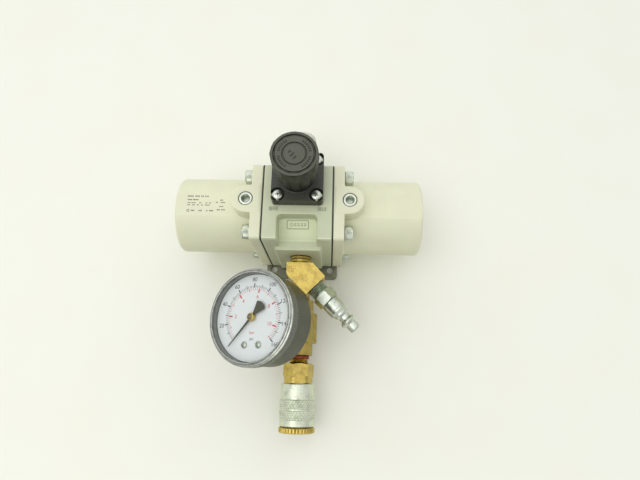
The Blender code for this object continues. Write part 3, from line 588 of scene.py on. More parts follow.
def moulded(name, colour, dust_and_sheen, low=0.38, high=0.55, grain=0.03, specular=0.5):
    """Glass-filled moulding: fine spark texture with dust in it, dust with a painted sheen on what faces up, and
    painted shade in its grooves.
    """
    surface = Surface(name, colour, specular=specular)
    surface.patches(9.0, 4.0, 0.45, 0.75, dust_and_sheen, 0.25)
    surface.patches(0.5, 3.0, 0.55, 0.7, dust_and_sheen, 0.35)
    # Dust and painted sheen: lighter on what faces up.
    surface.dust_and_sheen(dust_and_sheen, 0.6)
    # Painted shade in grooves.
    surface.recess_shade(tuple(0.3 * c for c in colour), 0.7, 0.9)
    surface.rough(surface.noise(2.0, 3.0), low, high)
    surface.bump(surface.noise(0.35, 2.0), grain)
    return surface.material


def porous(name, colour, shade):
    """Sintered plastic: packed grains with dark pores between them."""
    surface = Surface(name, colour, roughness=0.75, specular=0.3)
    grains = surface.cells(0.7)
    surface.tint(surface.between(grains, 0.45, 0.75), shade, 0.7)
    surface.patches(6.0, 3.0, 0.45, 0.7, shade, 0.3)
    surface.bump(surface.between(grains, 0.2, 0.8, 1.0, 0.0), 0.12)
    return surface.material


def printed(name, colour, faded):
    surface = Surface(name, colour, roughness=0.6)
    surface.patches(0.5, 3.0, 0.45, 0.65, faded, 0.4)
    return surface.material


def clear(name, colour, alpha, roughness):
    surface = Surface(name, colour, roughness=roughness, alpha=alpha)
    surface.rough(surface.noise(6.0, 3.0), roughness, roughness * 2.5)
    surface.bump(surface.noise(20.0, 1.0), 0.05)
    return surface.material


IVORY = (0.745, 0.76, 0.525)
GREY_GREEN = (0.58, 0.62, 0.41)
BRASS = (0.65, 0.50, 0.13)
ZINC = (0.70, 0.75, 0.63)
FINISH = {
    "cover_paint": paint("ivory_paint", IVORY, (0.62, 0.60, 0.46)),
    "body_paint": body_paint(),
    "bracket": plated("dark_zinc", (0.29, 0.30, 0.215), (0.16, 0.16, 0.11), 0.45, 0.65, (1, 1, 1), 0.35),
    "zinc_steel": plated("bright_zinc", ZINC, (0.42, 0.46, 0.34), 0.26, 0.42),
    "rubber": moulded("nitrile", (0.018, 0.018, 0.017), (0.06, 0.06, 0.055), 0.6, 0.85),
    "black_plastic": moulded("black_moulding", (0.015, 0.016, 0.010), (0.15, 0.158, 0.113),
                             specular=0.25),
    "brass": brass_finish("bar_brass", BRASS, (0.27, 0.17, 0.05), 0.22, 0.38),
    "bare_aluminium": plated("bare_aluminium", (0.72, 0.73, 0.74), (0.5, 0.5, 0.5), 0.3, 0.5),
    "spring_steel": plated("spring_wire", (0.33, 0.33, 0.34), (0.14, 0.13, 0.12), 0.3, 0.5),
    "white_plastic": porous("sintered_plastic", (0.74, 0.76, 0.64), (0.42, 0.44, 0.34)),
    "gauge_black": moulded("black_enamel", (0.050, 0.053, 0.026), (0.095, 0.10, 0.06), 0.30, 0.42,
                           0.012),
    "dial_white": printed("dial_enamel", (0.83, 0.885, 0.84), (0.77, 0.82, 0.78)),
    "clear_lens": clear("clear_acrylic", (0.10, 0.10, 0.10), 0.05, 0.05),
}
KNOB_MARKS = moulded("knob_marks", (0.010, 0.010, 0.008), (0.02, 0.02, 0.016), 0.3, 0.4)
BONNET_BLACK = moulded("bonnet_black", (0.016, 0.017, 0.012), (0.075, 0.078, 0.058), 0.24, 0.38,
                       specular=0.35)
SLEEVE_PLATE = plated("sleeve_plate", (0.76, 0.81, 0.64), (0.48, 0.52, 0.38), 0.40, 0.56,
                      (1, 1, 10), 0.12)
# Darker body paint for the raised name panel and port marks: painted shade standing for the shadows round them.
RAISED_MARK_SHADE = paint("raised_mark_shade", (0.39, 0.42, 0.285), (0.27, 0.29, 0.20))
# Clear plastic rim drawn as opaque silvery metal: painted reflection standing for the light it refracts.
GAUGE_RIM = plated("lens_rim", (0.56, 0.58, 0.52), (0.26, 0.27, 0.24), 0.15, 0.3, (1, 1, 1))
GAUGE_SKIRT = moulded("lens_skirt", (0.085, 0.09, 0.065), (0.15, 0.155, 0.12), 0.14, 0.26, 0.005)
GAUGE_WALL = moulded("inner_wall", (0.21, 0.215, 0.19), (0.3, 0.3, 0.27), 0.3, 0.5)
PASTE_THREAD = plated("pasted_thread", (0.54, 0.60, 0.45), (0.22, 0.27, 0.17), 0.35, 0.5,
                      dirt_and_shade=0.45)
PLUG_PLATE = plated("plug_plate", (0.70, 0.75, 0.64), (0.34, 0.38, 0.28), 0.26, 0.42, (1, 1, 6))
INK_BLACK = printed("black_ink", (0.035, 0.035, 0.04), (0.09, 0.09, 0.09))
INK_RED = printed("red_ink", (0.62, 0.05, 0.05), (0.75, 0.25, 0.22))
SEALANT = moulded("red_sealant", (0.27, 0.035, 0.012), (0.30, 0.09, 0.025), 0.6, 0.8, 0.15)
FORGED = brass_finish("forged_brass", (0.50, 0.39, 0.105), (0.25, 0.17, 0.045), 0.34, 0.5, 0.05)


def smooth(item, angle=32):
    item.data.shade_smooth()
    item.data.set_sharp_from_angle(angle=math.radians(angle))
    modify(item, "WEIGHTED_NORMAL", keep_sharp=True)
    return item


def dress(item, material, angle=32):
    item.data.materials.clear()
    item.data.materials.append(material)
    return smooth(item, angle)


def stand_for(item, node, material=None, angle=32):
    """Make a finished piece take the place, the body and the slot of a CAD node."""
    item.name = node + "_look"
    dress(item, material or FINISH[SLOT_OF[node]], angle)
    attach(item, BODY_OF[node])
    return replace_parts(item, node)


def extra(item, name, node, material, angle=32):
    """A visible trim piece that moves with a CAD node but doesn't replace it."""
    item.name = name
    dress(item, material, angle)
    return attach(item, BODY_OF[node])


# ---------------------------------------------------------------- centre body

def side_outline(inset=0.0):
    corners = rectangle(SIDE_LOW.y + inset, SIDE_LOW.z + inset, SIDE_HIGH.y - inset,
                        SIDE_HIGH.z - inset)
    return rounded(corners, BODY_CORNER)


def cover_screw_places():
    return [(y, AXIS_Z + z) for z in (SCREW_Z, -SCREW_Z) for y in (-SCREW_Y, SCREW_Y)]


def bonnet_screw_places():
    signs = ((-1, -1), (1, -1), (-1, 1), (1, 1))
    return [(x * BONNET_SCREW, KNOB_Y + y * BONNET_SCREW) for x, y in signs]


WINDOW_HALF = 13.4
PORT_HALF = 16.25
PORT_TOP = 61.8
SLOPE = [(-10.5, 71.5), (-11.5, 70.6), (-21.5, 64.4), (-24.6, 62.0)]


def center_body():
    body = plate("center_body", [side_outline()], 2 * (BODY_HALF + 0.45), turn=RIGHT)
    rear = box((-17.0, SIDE_HIGH.y - 5, 28.0), (17.0, BODY_HIGH.y, SIDE_HIGH.z - 0.5), edge=1.5)
    port = box((-PORT_HALF, BODY_LOW.y, 6.0), (PORT_HALF, SIDE_LOW.y + 5, PORT_TOP), edge=1.0)
    join(body, rear, port)
    slope = [(-10.5, SIDE_HIGH.z + 3), *SLOPE, (-40.0, SLOPE[-1][1]), (-40.0, SIDE_HIGH.z + 3)]
    window = plate("window", [slope], 2 * WINDOW_HALF, turn=RIGHT)
    plan = rounded(rectangle(-WINDOW_HALF, -60.0, WINDOW_HALF, SLOPE[0][0]), 3.0, 8)
    keep_inside(window, plate("plan", [plan], 80.0, (0, 0, 80.0)))
    cut(body, window)
    cast(body, voxel=0.42, rounds=9, keep=0.35)
    drill_body(body)
    stand_for(body, "center_body", angle=50)


def drill_body(body):
    lip = -BODY_LOW.y - 0.5
    cut(body, rod(PORT_BORE, 17.5, 40, INLET_AT, FORWARD),
        rod(PORT_BORE, 17.5, 40, OUTLET_AT, FORWARD), rod(8.0, lip, 40, INLET_AT, FORWARD),
        rod(8.0, lip, 40, OUTLET_AT, FORWARD), rod(6.8, 17.5, 40, (0, 0, SILENCER_Z), REARWARD),
        rod(15.0, 78.6, 90, KNOB_AT), rod(12.0, 60.0, 79, KNOB_AT))
    cut(body, *[rod(2.4, 0.0, 12.5, (x, y, 0), sides=24) for x, y in bracket_screw_places()])
    cut(body, rod(7.3, -40, 40, (0, 0, AXIS_Z), RIGHT), rod(5.8, -40, 40, (0, 0, 25.5), RIGHT))


def name_panel():
    """Raised frame with a lozenge and plain bars, cast on the window's slope, in darker paint as painted shade."""
    top, foot = Vector((0, *SLOPE[1])), Vector((0, *SLOPE[2]))
    lean = math.atan2(foot.z - top.z, top.y - foot.y)
    centre = top.lerp(foot, 0.29)
    turn = (-lean, 0, 0)
    corners = rectangle(-7.3, -2.9, 7.3, 2.9)
    outline = [(x, y, 0.1) for x, y in rounded(corners, 0.6, 3)]
    items = [wire("frame", outline, 0.26, closed=True, at=centre, turn=turn),
             wire("lozenge", [(-5.6, 0, 0.1), (-4.3, 1.3, 0.1), (-3.0, 0, 0.1), (-4.3, -1.3, 0.1)],
                  0.2, closed=True, at=centre, turn=turn)]
    for x in (-1.6, 0.6, 2.8, 5.0):
        items.append(box((x - 0.7, -0.9, -0.2), (x + 0.7, -0.35, 0.25), 0, centre, turn))
        items.append(box((x - 0.7, 0.35, -0.2), (x + 0.7, 0.9, 0.25), 0, centre, turn))
    extra(merge("name_panel", items), "name_panel_frame", "center_body", RAISED_MARK_SHADE)


def port_marks():
    """Plain raised bars on the body's top, four to each side of the window, in darker paint as painted shade."""
    marks = []
    for x in (-16.3, 16.3):
        for i, width in enumerate((1.0, 0.5, 0.5, 1.0)):
            marks.append(box((x - 2.6 + 1.5 * i, -8.1, SIDE_HIGH.z - 0.3),
                             (x - 2.6 + 1.5 * i + width, -5.7, SIDE_HIGH.z + 0.5)))
    extra(merge("port_marks", marks), "port_marks", "center_body", RAISED_MARK_SHADE)


def gaskets():
    for side, word in SIDES:
        outlines = [side_outline(0.1), ring((0, AXIS_Z), 23.0)]
        seal = plate("gasket", outlines, 0.68, (side * (BODY_HALF + GAP + 0.5), 0, 0), RIGHT)
        stand_for(seal, f"{word}_gasket")


# ------------------------------------------------------------ cylinder covers

def cylinder_cover(side, node):
    out = RIGHT if side > 0 else LEFT
    start = COVER_LOW.x
    flange = plate(node, [side_outline()], 7.45, (side * (start + 3.275), 0, 0), RIGHT)
    end = COVER_HIGH.x
    radius = 27.0
    shell = turned("shell", [(0, end), *arc((radius - 2.5, end - 2.5), 2.5, 90, 0, 8),
                             (radius, start + 1), (0, start + 1)], (0, 0, AXIS_Z), out, 144)
    nose = arc((BOSS_X, 0), 9.9, -90, 90, 32)
    outline = [(start + 1, -9.9), *nose, (start + 1, 9.9)]
    boss = plate("boss", [[(side * x, y) for x, y in outline]], 40.0, (0, 0, BOSS_TOP - 20))
    join(flange, shell, boss)
    flat_ends = sorted((side * 45.2, side * 100))
    cut(flange, box((flat_ends[0], -8.7, AXIS_Z + 25.6), (flat_ends[1], 8.7, AXIS_Z + 40)))
    cast(flange, voxel=0.45, rounds=7, keep=0.3)
    plug = (side * BOSS_X, 0, 0)
    cut(flange, rod(22.5, 10, end - 4.3, (0, 0, AXIS_Z), out, sides=96),
        rod(4.95, 71.5, 90, plug), rod(5.6, BOSS_TOP - 0.15, 90, plug))
    for y, z in cover_screw_places():
        cut(flange, rod(3.4, 10, 40, (0, y, z), out, sides=32))
    stand_for(flange, node, angle=50)


def cylinder_covers():
    for side, word in SIDES:
        cylinder_cover(side, f"{word}_cylinder_cover")


def cover_print():
    """Blank rating marks printed on the left cylinder's flat, as rows of short dashes."""
    top = AXIS_Z + 25.6 + 0.02
    rows = [  # y, height, then start and width of each dash
        (5.6, 0.9, [(-78.0, 4.4), (-72.6, 3.4), (-68.4, 2.0), (-65.6, 2.6)]),
        (3.0, 0.9, [(-77.8, 3.2), (-74.0, 4.0)]),
        (0.7, 0.7, [(-77.6, 2.2), (-74.8, 3.0), (-69.4, 1.6), (-65.0, 1.4), (-62.6, 1.6)]),
        (-0.9, 0.7, [(-77.5, 2.0), (-74.4, 2.2), (-71.0, 1.6), (-68.0, 1.4), (-65.4, 3.6)]),
        (-5.0, 0.9, [(-74.8, 2.6), (-69.4, 2.4), (-64.2, 1.2), (-62.0, 3.0)]),
        (2.9, 0.8, [(-54.9, 2.2)]), (1.2, 0.8, [(-57.8, 1.6), (-54.4, 3.2)]),
        (-1.8, 0.7, [(-55.2, 3.0)]), (-4.2, 0.9, [(-56.8, 2.4), (-53.6, 2.6)]),
    ]
    dashes = []
    for y, height, marks in rows:
        for start, width in marks:
            letters = max(2, round(width / 0.8))
            pitch = width / letters
            for i in range(letters):
                low = (start + i * pitch, y - height / 2, top - 0.02)
                high = (start + i * pitch + pitch * 0.62, y + height / 2, top + 0.01)
                dashes.append(box(low, high))
    spot = turned("spot", [(0.7, 0.01), (1.0, 0.01), (1.0, -0.02), (0.7, -0.02)],
                  (-76.9, -5.0, top), steps=24)
    extra(merge("rating_marks", [*dashes, spot]), "rating_marks", "left_cylinder_cover", INK_BLACK)


def socket_screw_mesh():
    """Socket-head screw: knurled head on Z = 0, chamfered rim and a hexagon socket."""
    head = 5.0
    side_heights = fine(5.0, 0.3, 0.6)
    profile = [(0, 6.0), (3.9, 6.0), (4.5, 5.9), (head, 5.4),
               *[(head, z) for z in side_heights], (head - 0.2, 0.0), (3.0, 0.0), (3.0, -14.5),
               (0, -14.5)]

    def knurl(angle, radius, height):
        inside = radius > head - 0.01 and 0.5 < height < 5.2
        return -0.22 * triangle_wave(36 * angle / (2 * math.pi)) if inside else 0.0

    screw = turned("screw", profile, steps=216, relief=knurl)
    cut(screw, prism(6, 5.0, 2.8, 8.0))
    cut(screw, turned("mouth", [(0, 7.0), (3.6, 7.0), (2.5, 5.4), (0, 5.4)], steps=48))
    return taken_mesh(screw)


def cover_screws():
    mesh = socket_screw_mesh()
    seat = COVER_LOW.x + 7.0 + GAP
    for side, word in SIDES:
        for number, (y, z) in enumerate(cover_screw_places(), 1):
            screw = piece("screw", mesh.copy(), (side * seat, y, z), RIGHT if side > 0 else LEFT)
            screw.data.transform(spun(17 * number + 40 * side))
            stand_for(screw, f"{word}_cover_screw_{number}")


def port_plugs():
    for side, word in SIDES:
        at = (side * BOSS_X, 0, BOSS_TOP - 0.2)
        profile = [(0, 0), (4.2, 0), (4.75, -0.5), (4.75, -7.8), (0, -7.8)]
        plug = turned("plug", eased(profile, 0.15), at, steps=72)
        cut(plug, prism(6, 5.0, -4.5, 3.0, at, spin=0.3 * side),
            turned("mouth", [(0, 1), (3.9, 1), (3.0, -0.15), (2.4, -0.7), (0, -0.7)], at, steps=48))
        stand_for(plug, f"{word}_port_plug")


# ------------------------------------------------------------ bonnet and knob

def bonnet():
    half = (BONNET_HIGH.x - BONNET_LOW.x) / 2
    base, flange_top, neck_top = BONNET_LOW.z, 88.9, BONNET_HIGH.z
    corners = rectangle(-half, KNOB_Y - half, half, KNOB_Y + half)
    height = flange_top - base
    flange = plate("bonnet", [rounded(corners, 2.5, 8)], height, (0, 0, (flange_top + base) / 2))
    bevel(flange, 0.6, 3)
    foot = [(0, neck_top), (11.3, neck_top), (11.3, flange_top + 1.0),
            *arc((12.3, flange_top + 1.0), 1.0, 180, 270, 5), (12.3, flange_top - 2),
            (0, flange_top - 2)]
    join(flange, turned("neck", foot, KNOB_AT))
    cut(flange, rod(12.5, 70, base + 2.2, KNOB_AT), rod(9.2, 70, 99, KNOB_AT),
        rod(4.2, 80, 110, KNOB_AT, sides=32))
    for x, y in bonnet_screw_places():
        pocket = turned("pocket", [(0, 95), (5.4, 95), (4.9, flange_top), (4.5, flange_top - 0.5),
                                   (4.5, 86.4), (0, 86.4)], (x, y, 0), steps=48)
        cut(flange, pocket, rod(2.4, 70, 95, (x, y, 0), sides=24))
    for x in (-3.6, 3.6):
        cut(flange, box((x - 0.6, KNOB_Y - 13, flange_top + 0.6),
                        (x + 0.6, KNOB_Y - 10.3, neck_top - 1.0)))
    stand_for(flange, "bonnet", BONNET_BLACK)


def cross_screw_mesh():
    """Pan-head screw with a cross recess, its head standing on Z = 0."""
    dome = [(0, 2.6), (1.8, 2.5), (2.9, 2.15), (3.6, 1.4), (3.85, 0.6), (3.85, 0.0)]
    screw = turned("screw", [*dome, (2.0, 0.0), (2.0, -13.5), (0, -13.5)], steps=72)
    for turn in (0.0, math.pi / 2):
        wedge = plate("wedge", [[(-1.75, 4.0), (-1.6, 2.4), (-0.5, 0.8), (0.5, 0.8), (1.6, 2.4),
                                 (1.75, 4.0)]], 0.55, turn=(math.pi / 2, 0.0, turn))
        cut(screw, wedge)
    return taken_mesh(screw)


def bonnet_screws():
    mesh = cross_screw_mesh()
    floor = span("bonnet_screw_1")[1].z - 2.6
    for number, (x, y) in enumerate(bonnet_screw_places(), 1):
        screw = piece("screw", mesh.copy(), (x, y, floor))
        screw.data.transform(spun((10, 62, 33, 78)[number - 1]))
        stand_for(screw, f"bonnet_screw_{number}")


def knob_relief(angle, radius, height):
    """Notches round the rim, and twelve narrow slots up the skirt."""
    if radius < 12.6 or height > KNOB_HIGH.z - 0.3:
        return 0.0
    broad, narrow = 0.5 - 0.5 * math.cos(12 * angle), 0.5 - 0.5 * math.cos(24 * angle)
    at_rim = min(1.0, max(0.0, (height - KNOB_HIGH.z + 11.0) / 3.5))
    at_skirt = min(1.0, max(0.0, (KNOB_LOW.z + 13.0 - height) / 4.0))
    return -at_rim * (0.40 * broad ** 3 + 0.22 * narrow) - 0.85 * at_skirt * broad ** 14


def pressure_knob():
    top, foot = KNOB_HIGH.z, KNOB_LOW.z
    rim, skirt, hollow, ceiling = 14.9, 12.9, 11.8, 106.5
    profile = [(0, top - 0.25), (6.6, top - 0.25), (6.9, top - 0.7), (7.5, top - 0.7),
               (7.8, top - 0.15), (11.6, top - 0.15), (12.0, top - 0.75), (12.7, top - 0.75),
               (13.0, top), (rim - 0.8, top)]
    profile += arc((rim - 0.8, top - 0.8), 0.8, 90, 0, 5)[1:]
    profile += [(rim, z) for z in fine(top - 1.2, top - 7.5, 0.7)]
    profile += [(rim + (skirt - rim) * t, top - 7.5 + (foot + 0.4 - top + 7.5) * t)
                for t in (0.06, 0.2, 0.4, 0.6, 0.8, 1.0)]
    profile += [(skirt - 0.3, foot), (hollow, foot), (hollow, ceiling), (0, ceiling)]
    knob = turned("pressure_knob", profile, KNOB_AT, steps=240, relief=knob_relief)
    cut(knob, prism(6, 9.6, ceiling - 2, 116.0, KNOB_AT))
    stand_for(knob, "pressure_knob")
    knob_marks(top)


def knob_marks(top):
    """Blank raised bars between the two rings and in the middle of the knob's top."""
    low, high = top - 0.4, top
    marks = []

    def bar(half_length, half_width, top_at, x, y, degrees):
        mark = box((-half_length, -half_width, low), (half_length, half_width, top_at))
        mark.matrix_world = here((x, KNOB_Y + y, 0), (0, 0, math.radians(degrees)))
        marks.append(mark)

    for start, end in ((-62, -8), (8, 62), (118, 172), (-172, -118)):
        steps = round((end - start) / 9)
        for i in range(steps):
            degrees = start + (end - start) * (i + 0.5) / steps
            angle = math.radians(degrees)
            bar(0.75, 0.33, high, 9.7 * math.cos(angle), 9.7 * math.sin(angle), degrees)
    for i, length in enumerate((1.0, 1.6, 1.2)):
        bar(length, 0.3, high - 0.05, 1.6 * i - 2.9, 1.4 - 1.9 * i, 48)
    raised = extra(merge("knob_marks", marks), "knob_marks", "pressure_knob", KNOB_MARKS)


# -------------------------------------------------- inlet elbow and its plug

def outlet_direction():
    return Vector((math.sin(math.pi / 4), -math.cos(math.pi / 4)))


def inlet_elbow():
    left, right = PORT_X - ELBOW_HALF, PORT_X + ELBOW_HALF
    rear = -36.4
    out = outlet_direction()
    across = Vector((-out.y, out.x))
    high, low = ELBOW_OUTLET + across * ELBOW_HALF, ELBOW_OUTLET - across * ELBOW_HALF
    heel = low - out * ((low.x - left) / out.x)
    flat = 1.2 / math.sin(math.radians(67.5))
    heel_in = heel + Vector((0, 1)) * flat
    heel_out = heel + out * flat
    bend = [(left, rear), tuple(heel_in), tuple(heel_out), tuple(low), tuple(high), (right, rear)]
    elbow = plate("inlet_elbow", [rounded(bend, 0.25, 3)], 2 * ELBOW_HALF, (0, 0, INLET_Z))
    bevel(elbow, 0.5, 3)
    outlet = (*ELBOW_OUTLET, INLET_Z)
    neck = [(0, 37.5), (7.8, 37.5), (7.8, 35.9), (7.1, 35.6), (7.1, 35.2), (7.75, 34.9),
            (7.75, 33.6), (7.1, 33.3), (7.1, 32.9), (7.7, 32.6), (7.7, 31.3), (6.9, 31.0)]
    neck += [*thread_line(30.8, 19.0), (6.3, 18.5), (0, 18.5)]
    join(elbow, turned("thread", neck, INLET_AT, FORWARD, 96, thread_relief((19.0, 30.7))))
    cut(elbow, rod(4.0, 10, 47, INLET_AT, FORWARD), rod(4.0, -14, 2, outlet, PLUG_TURN),
        rod(7.0, -11, 2, outlet, PLUG_TURN),
        turned("mouth", [(0, 1.0), (8.6, 1.0), (7.2, -0.5), (0, -0.5)], outlet, PLUG_TURN))
    stand_for(elbow, "inlet_elbow")
    elbow_dots(heel)
    sealant_ring("inlet_sealant", "inlet_elbow", INLET_AT, 30.5, 31.2, 7.35)


def elbow_dots(heel):
    """Rows of small punched dots near the heel, on the elbow's top."""
    top = INLET_Z + ELBOW_HALF
    dots = []
    for row in range(3):
        for column in range(4 - row // 2):
            spot = (heel.x + 1.9 + 1.55 * column, heel.y + 5.4 - 1.7 * row)
            dots.append(turned("dot", [(0, 0.012), (0.22, 0.012), (0.28, -0.03), (0, -0.03)],
                               (*spot, top), steps=10))
    extra(merge("elbow_dots", dots), "elbow_dots", "inlet_elbow", INK_BLACK)


def sealant_ring(name, node, at, start, end, radius, seed=3.0):
    """Uneven bead of thread sealant squeezed out at a joint."""
    def lumps(angle, reach, height):
        wave = (0.22 * math.sin(3 * angle + seed) + 0.12 * math.sin(8 * angle + height * 3)
                + 0.08 * math.sin(17 * angle + seed))
        return wave if reach > radius - 0.4 else 0.0

    crown = (end - start) / 2
    profile = [(radius - 0.6, end), (radius, end - 0.25), (radius + 0.25, end - crown),
               (radius, start + 0.25), (radius - 0.6, start)]
    bead = turned(name, eased(profile, 0.3), at, FORWARD, 120, lumps)
    extra(bead, name, node, SEALANT, 60)


def inlet_plug():
    tip = 41.0
    at = (*ELBOW_OUTLET, INLET_Z)
    outer = [(2.8, tip), (3.4, tip), (3.95, tip - 0.6), (3.95, 35.4), (5.5, 34.3), (5.95, 33.4),
             (5.95, 32.6), (5.4, 32.0), (4.1, 30.8), (4.1, 28.2), (5.2, 26.6), (5.4, 24.7),
             (5.9, 24.5), (5.9, 23.9), (6.6, 23.4), (6.6, 21.9), (6.45, 21.7), (6.6, 21.5),
             (6.6, 14.6), (6.2, 14.2)]
    body = eased([*outer, (6.2, 6.6), (2.8, 6.6)], 0.22)
    plug = turned("inlet_plug", body, at, PLUG_TURN, 96)
    join(plug, hex_nut(14.3, 6.2, 14.2, (4.5, 0, 20), at, PLUG_TURN, 0.12, math.radians(-14)))
    stand_for(plug, "inlet_plug", PLUG_PLATE)
    thread = [(2.8, 7.0), (6.3, 7.0), *thread_line(6.3, -9.5, 6.75), (6.2, -10.3), (2.8, -10.3)]
    pasted = turned("plug_thread", thread, at, PLUG_TURN, 96, thread_relief((-9.5, 5.6)))
    extra(pasted, "plug_thread", "inlet_plug", PASTE_THREAD)
    stamp = [box((x, -0.35, 6.45), (x + 0.6, 0.35, 6.62), at=at) for x in (-0.9, 0.3)]
    for i, mark in enumerate(stamp):
        mark.matrix_world = here(at, PLUG_TURN) @ spun(78) \
            @ Matrix.Translation(Vector((0, 0, 17.0 + 1.4 * i)) * MM) \
            @ Matrix.Rotation(math.pi / 2, 4, "Y")
    extra(merge("plug_stamp", stamp), "plug_stamp", "inlet_plug", FINISH["spring_steel"])


def hex_nut(across, start, end, bore, at, turn, edge=0.15, spin=0.0):
    """Hexagon with a bore, whose corners are turned off at both ends."""
    nut = prism(6, across, start, end, at, turn, spin)
    corner = across / 2 / math.cos(math.pi / 6) + 0.01
    flat = across / 2 * 0.97
    drop = (corner - flat) * 0.32 * 1.8
    profile = [(0, end), (flat, end), (corner, end - drop), (corner, start + drop), (flat, start),
               (0, start)]
    keep_inside(nut, turned("chamfer", profile, at, turn, 96))
    bevel(nut, edge, 2)
    return cut(nut, rod(*bore, at, turn))


# ---------------------------------------------------- outlet, tee and coupler

def outlet_nipple():
    profile = [(4.0, 67.5), (6.3, 67.5), *thread_line(66.6, 51.6), (6.5, 51.2), (6.5, 38.8),
               *thread_line(38.4, 19.4), (6.3, 18.5), (4.0, 18.5)]
    relief = thread_relief((19.5, 38.3), (51.7, 66.5))
    nipple = turned("outlet_nipple", profile, OUTLET_AT, FORWARD, 96, relief)
    join(nipple, hex_nut(16.0, 39.0, 51.0, (5.5, 30, 60), OUTLET_AT, FORWARD))
    stand_for(nipple, "outlet_nipple")
    sealant_ring("outlet_sealant", "outlet_nipple", OUTLET_AT, 30.2, 32.4, 7.0, 1.0)


TEE_HALF_RUN = 20.0


def outlet_tee():
    near, far = -GAUGE_AT[1] - TEE_HALF_RUN, -GAUGE_AT[1] + TEE_HALF_RUN
    tee = box((-9.5, -11.0, -9.5), (9.5, 11.0, 9.5), 0.9, GAUGE_AT, GAUGE_TURN, "outlet_tee")
    arm = eased([(0, far), (9.6, far), (9.6, near), (0, near)], 0.5)
    branch = eased([(0, TEE_HALF_RUN), (9.6, TEE_HALF_RUN), (9.6, 0), (0, 0)], 0.5)
    join(tee, turned("arms", arm, OUTLET_AT, FORWARD), gauge_turned("branch", branch))
    cut(tee, rod(4.0, near - 2, far + 2, OUTLET_AT, FORWARD),
        rod(PORT_BORE, near - 2, near + 9.5, OUTLET_AT, FORWARD),
        rod(PORT_BORE, far - 11.5, far + 2, OUTLET_AT, FORWARD),
        rod(4.0, 0, 30, GAUGE_AT, GAUGE_TURN),
        rod(PORT_BORE, TEE_HALF_RUN - 9.5, 30, GAUGE_AT, GAUGE_TURN))
    stand_for(tee, "outlet_tee", FORGED)
    sealant_ring("tee_sealant", "outlet_tee", OUTLET_AT, far + 0.1, far + 2.6, 6.95, 2.0)


def coupler_body():
    hex_start, shoulder, end = 104.7, 118.6, -span("coupler_end_ring")[0].y
    bore, tube, seat = 6.2, 9.5, 126.0
    outer = [(bore, end), (tube - 0.3, end), (tube, end - 0.3), (tube, shoulder - 1),
             (6.0, shoulder - 1.5), (6.0, hex_start + 0.5), (6.4, hex_start)]
    thread = thread_line(hex_start - 0.4, 89.0)
    inner = [(6.3, 88.2), (4.0, 88.2), (4.0, seat - 6), (bore, seat - 6)]
    relief = thread_relief((89.0, hex_start - 0.5))
    body = turned("coupler_body", [*outer, *thread, *inner], OUTLET_AT, FORWARD, 96, relief)
    nut = prism(6, 19.05, hex_start, shoulder, OUTLET_AT, FORWARD, math.radians(-40))
    step, full, turned_down = hex_start + 9.0, 11.02, 10.25
    limit = [(0, shoulder), (turned_down - 0.3, shoulder), (turned_down, shoulder - 0.3),
             (turned_down, step + 0.1), (full, step - 0.1), (full, hex_start + 0.9),
             (9.3, hex_start), (0, hex_start)]
    keep_inside(nut, turned("limit", limit, OUTLET_AT, FORWARD, 144))
    cut(nut, rod(5.5, 90, 130, OUTLET_AT, FORWARD))
    bevel(nut, 0.12, 2)
    join(body, nut)
    stand_for(body, "coupler_body")


def knurl_relief(bands, count, pitch, depth):
    """Diamond knurl in some bands of height: small pyramids left by two crossing cuts."""
    def relief(angle, radius, height):
        if radius < 11.5:
            return 0.0
        for low, high in bands:
            if low <= height <= high:
                around, along = count * angle / (2 * math.pi), height / pitch
                first, second = triangle_wave(around + along), triangle_wave(around - along)
                return depth * (min(1.0, 1.7 * min(first, second)) - 0.8)
        return 0.0
    return relief


def coupler_sleeve():
    """Sleeve with a plain rear part, two knurled bands and a tapered front."""
    front, rear = -span("coupler_sleeve")[0].y, -span("coupler_sleeve")[1].y
    inner, skirt, plain, proud = 9.8, 11.35, 12.1, 12.55
    bands = [(rear + 11.0, rear + 16.2), (rear + 18.4, rear + 23.4)]
    profile = [(inner, front), (plain - 0.5, front), (plain, front - 0.6), (plain, bands[1][1] + 0.9),
               (proud, bands[1][1] + 0.5)]
    profile += [(proud, z) for z in fine(bands[1][1], bands[1][0], 0.19)]
    profile += [(proud, bands[1][0] - 0.3), (plain + 0.1, bands[1][0] - 0.7),
                (plain + 0.1, bands[0][1] + 0.7), (proud, bands[0][1] + 0.3)]
    profile += [(proud, z) for z in fine(bands[0][1], bands[0][0], 0.19)]
    profile += [(proud, bands[0][0] - 0.2), (plain, bands[0][0] - 0.6), (plain, rear + 0.5),
                (plain - 0.4, rear), (skirt, rear), (skirt, rear + 8), (inner, rear + 8)]
    relief = knurl_relief(bands, 36, 2.9, 0.55)
    sleeve = turned("coupler_sleeve", profile, OUTLET_AT, FORWARD, 448, relief)
    stand_for(sleeve, "coupler_sleeve", SLEEVE_PLATE, angle=25)


def coupler_end_ring():
    """Brass retaining ring with straight teeth round its edge."""
    low, high = span("coupler_end_ring")
    end, start = -low.y, -high.y
    inner, edge = 9.8, 12.7
    profile = [(inner, end), (edge - 0.7, end), (edge, end - 0.6), (edge, start + 0.5),
               (edge - 0.5, start), (inner, start)]

    def teeth(angle, radius, _height):
        groove = triangle_wave(30 * angle / (2 * math.pi)) ** 3
        return -0.5 * groove if radius > edge - 0.9 else 0.0

    ring_piece = turned("coupler_end_ring", profile, OUTLET_AT, FORWARD, 360, teeth)
    stand_for(ring_piece, "coupler_end_ring", angle=25)


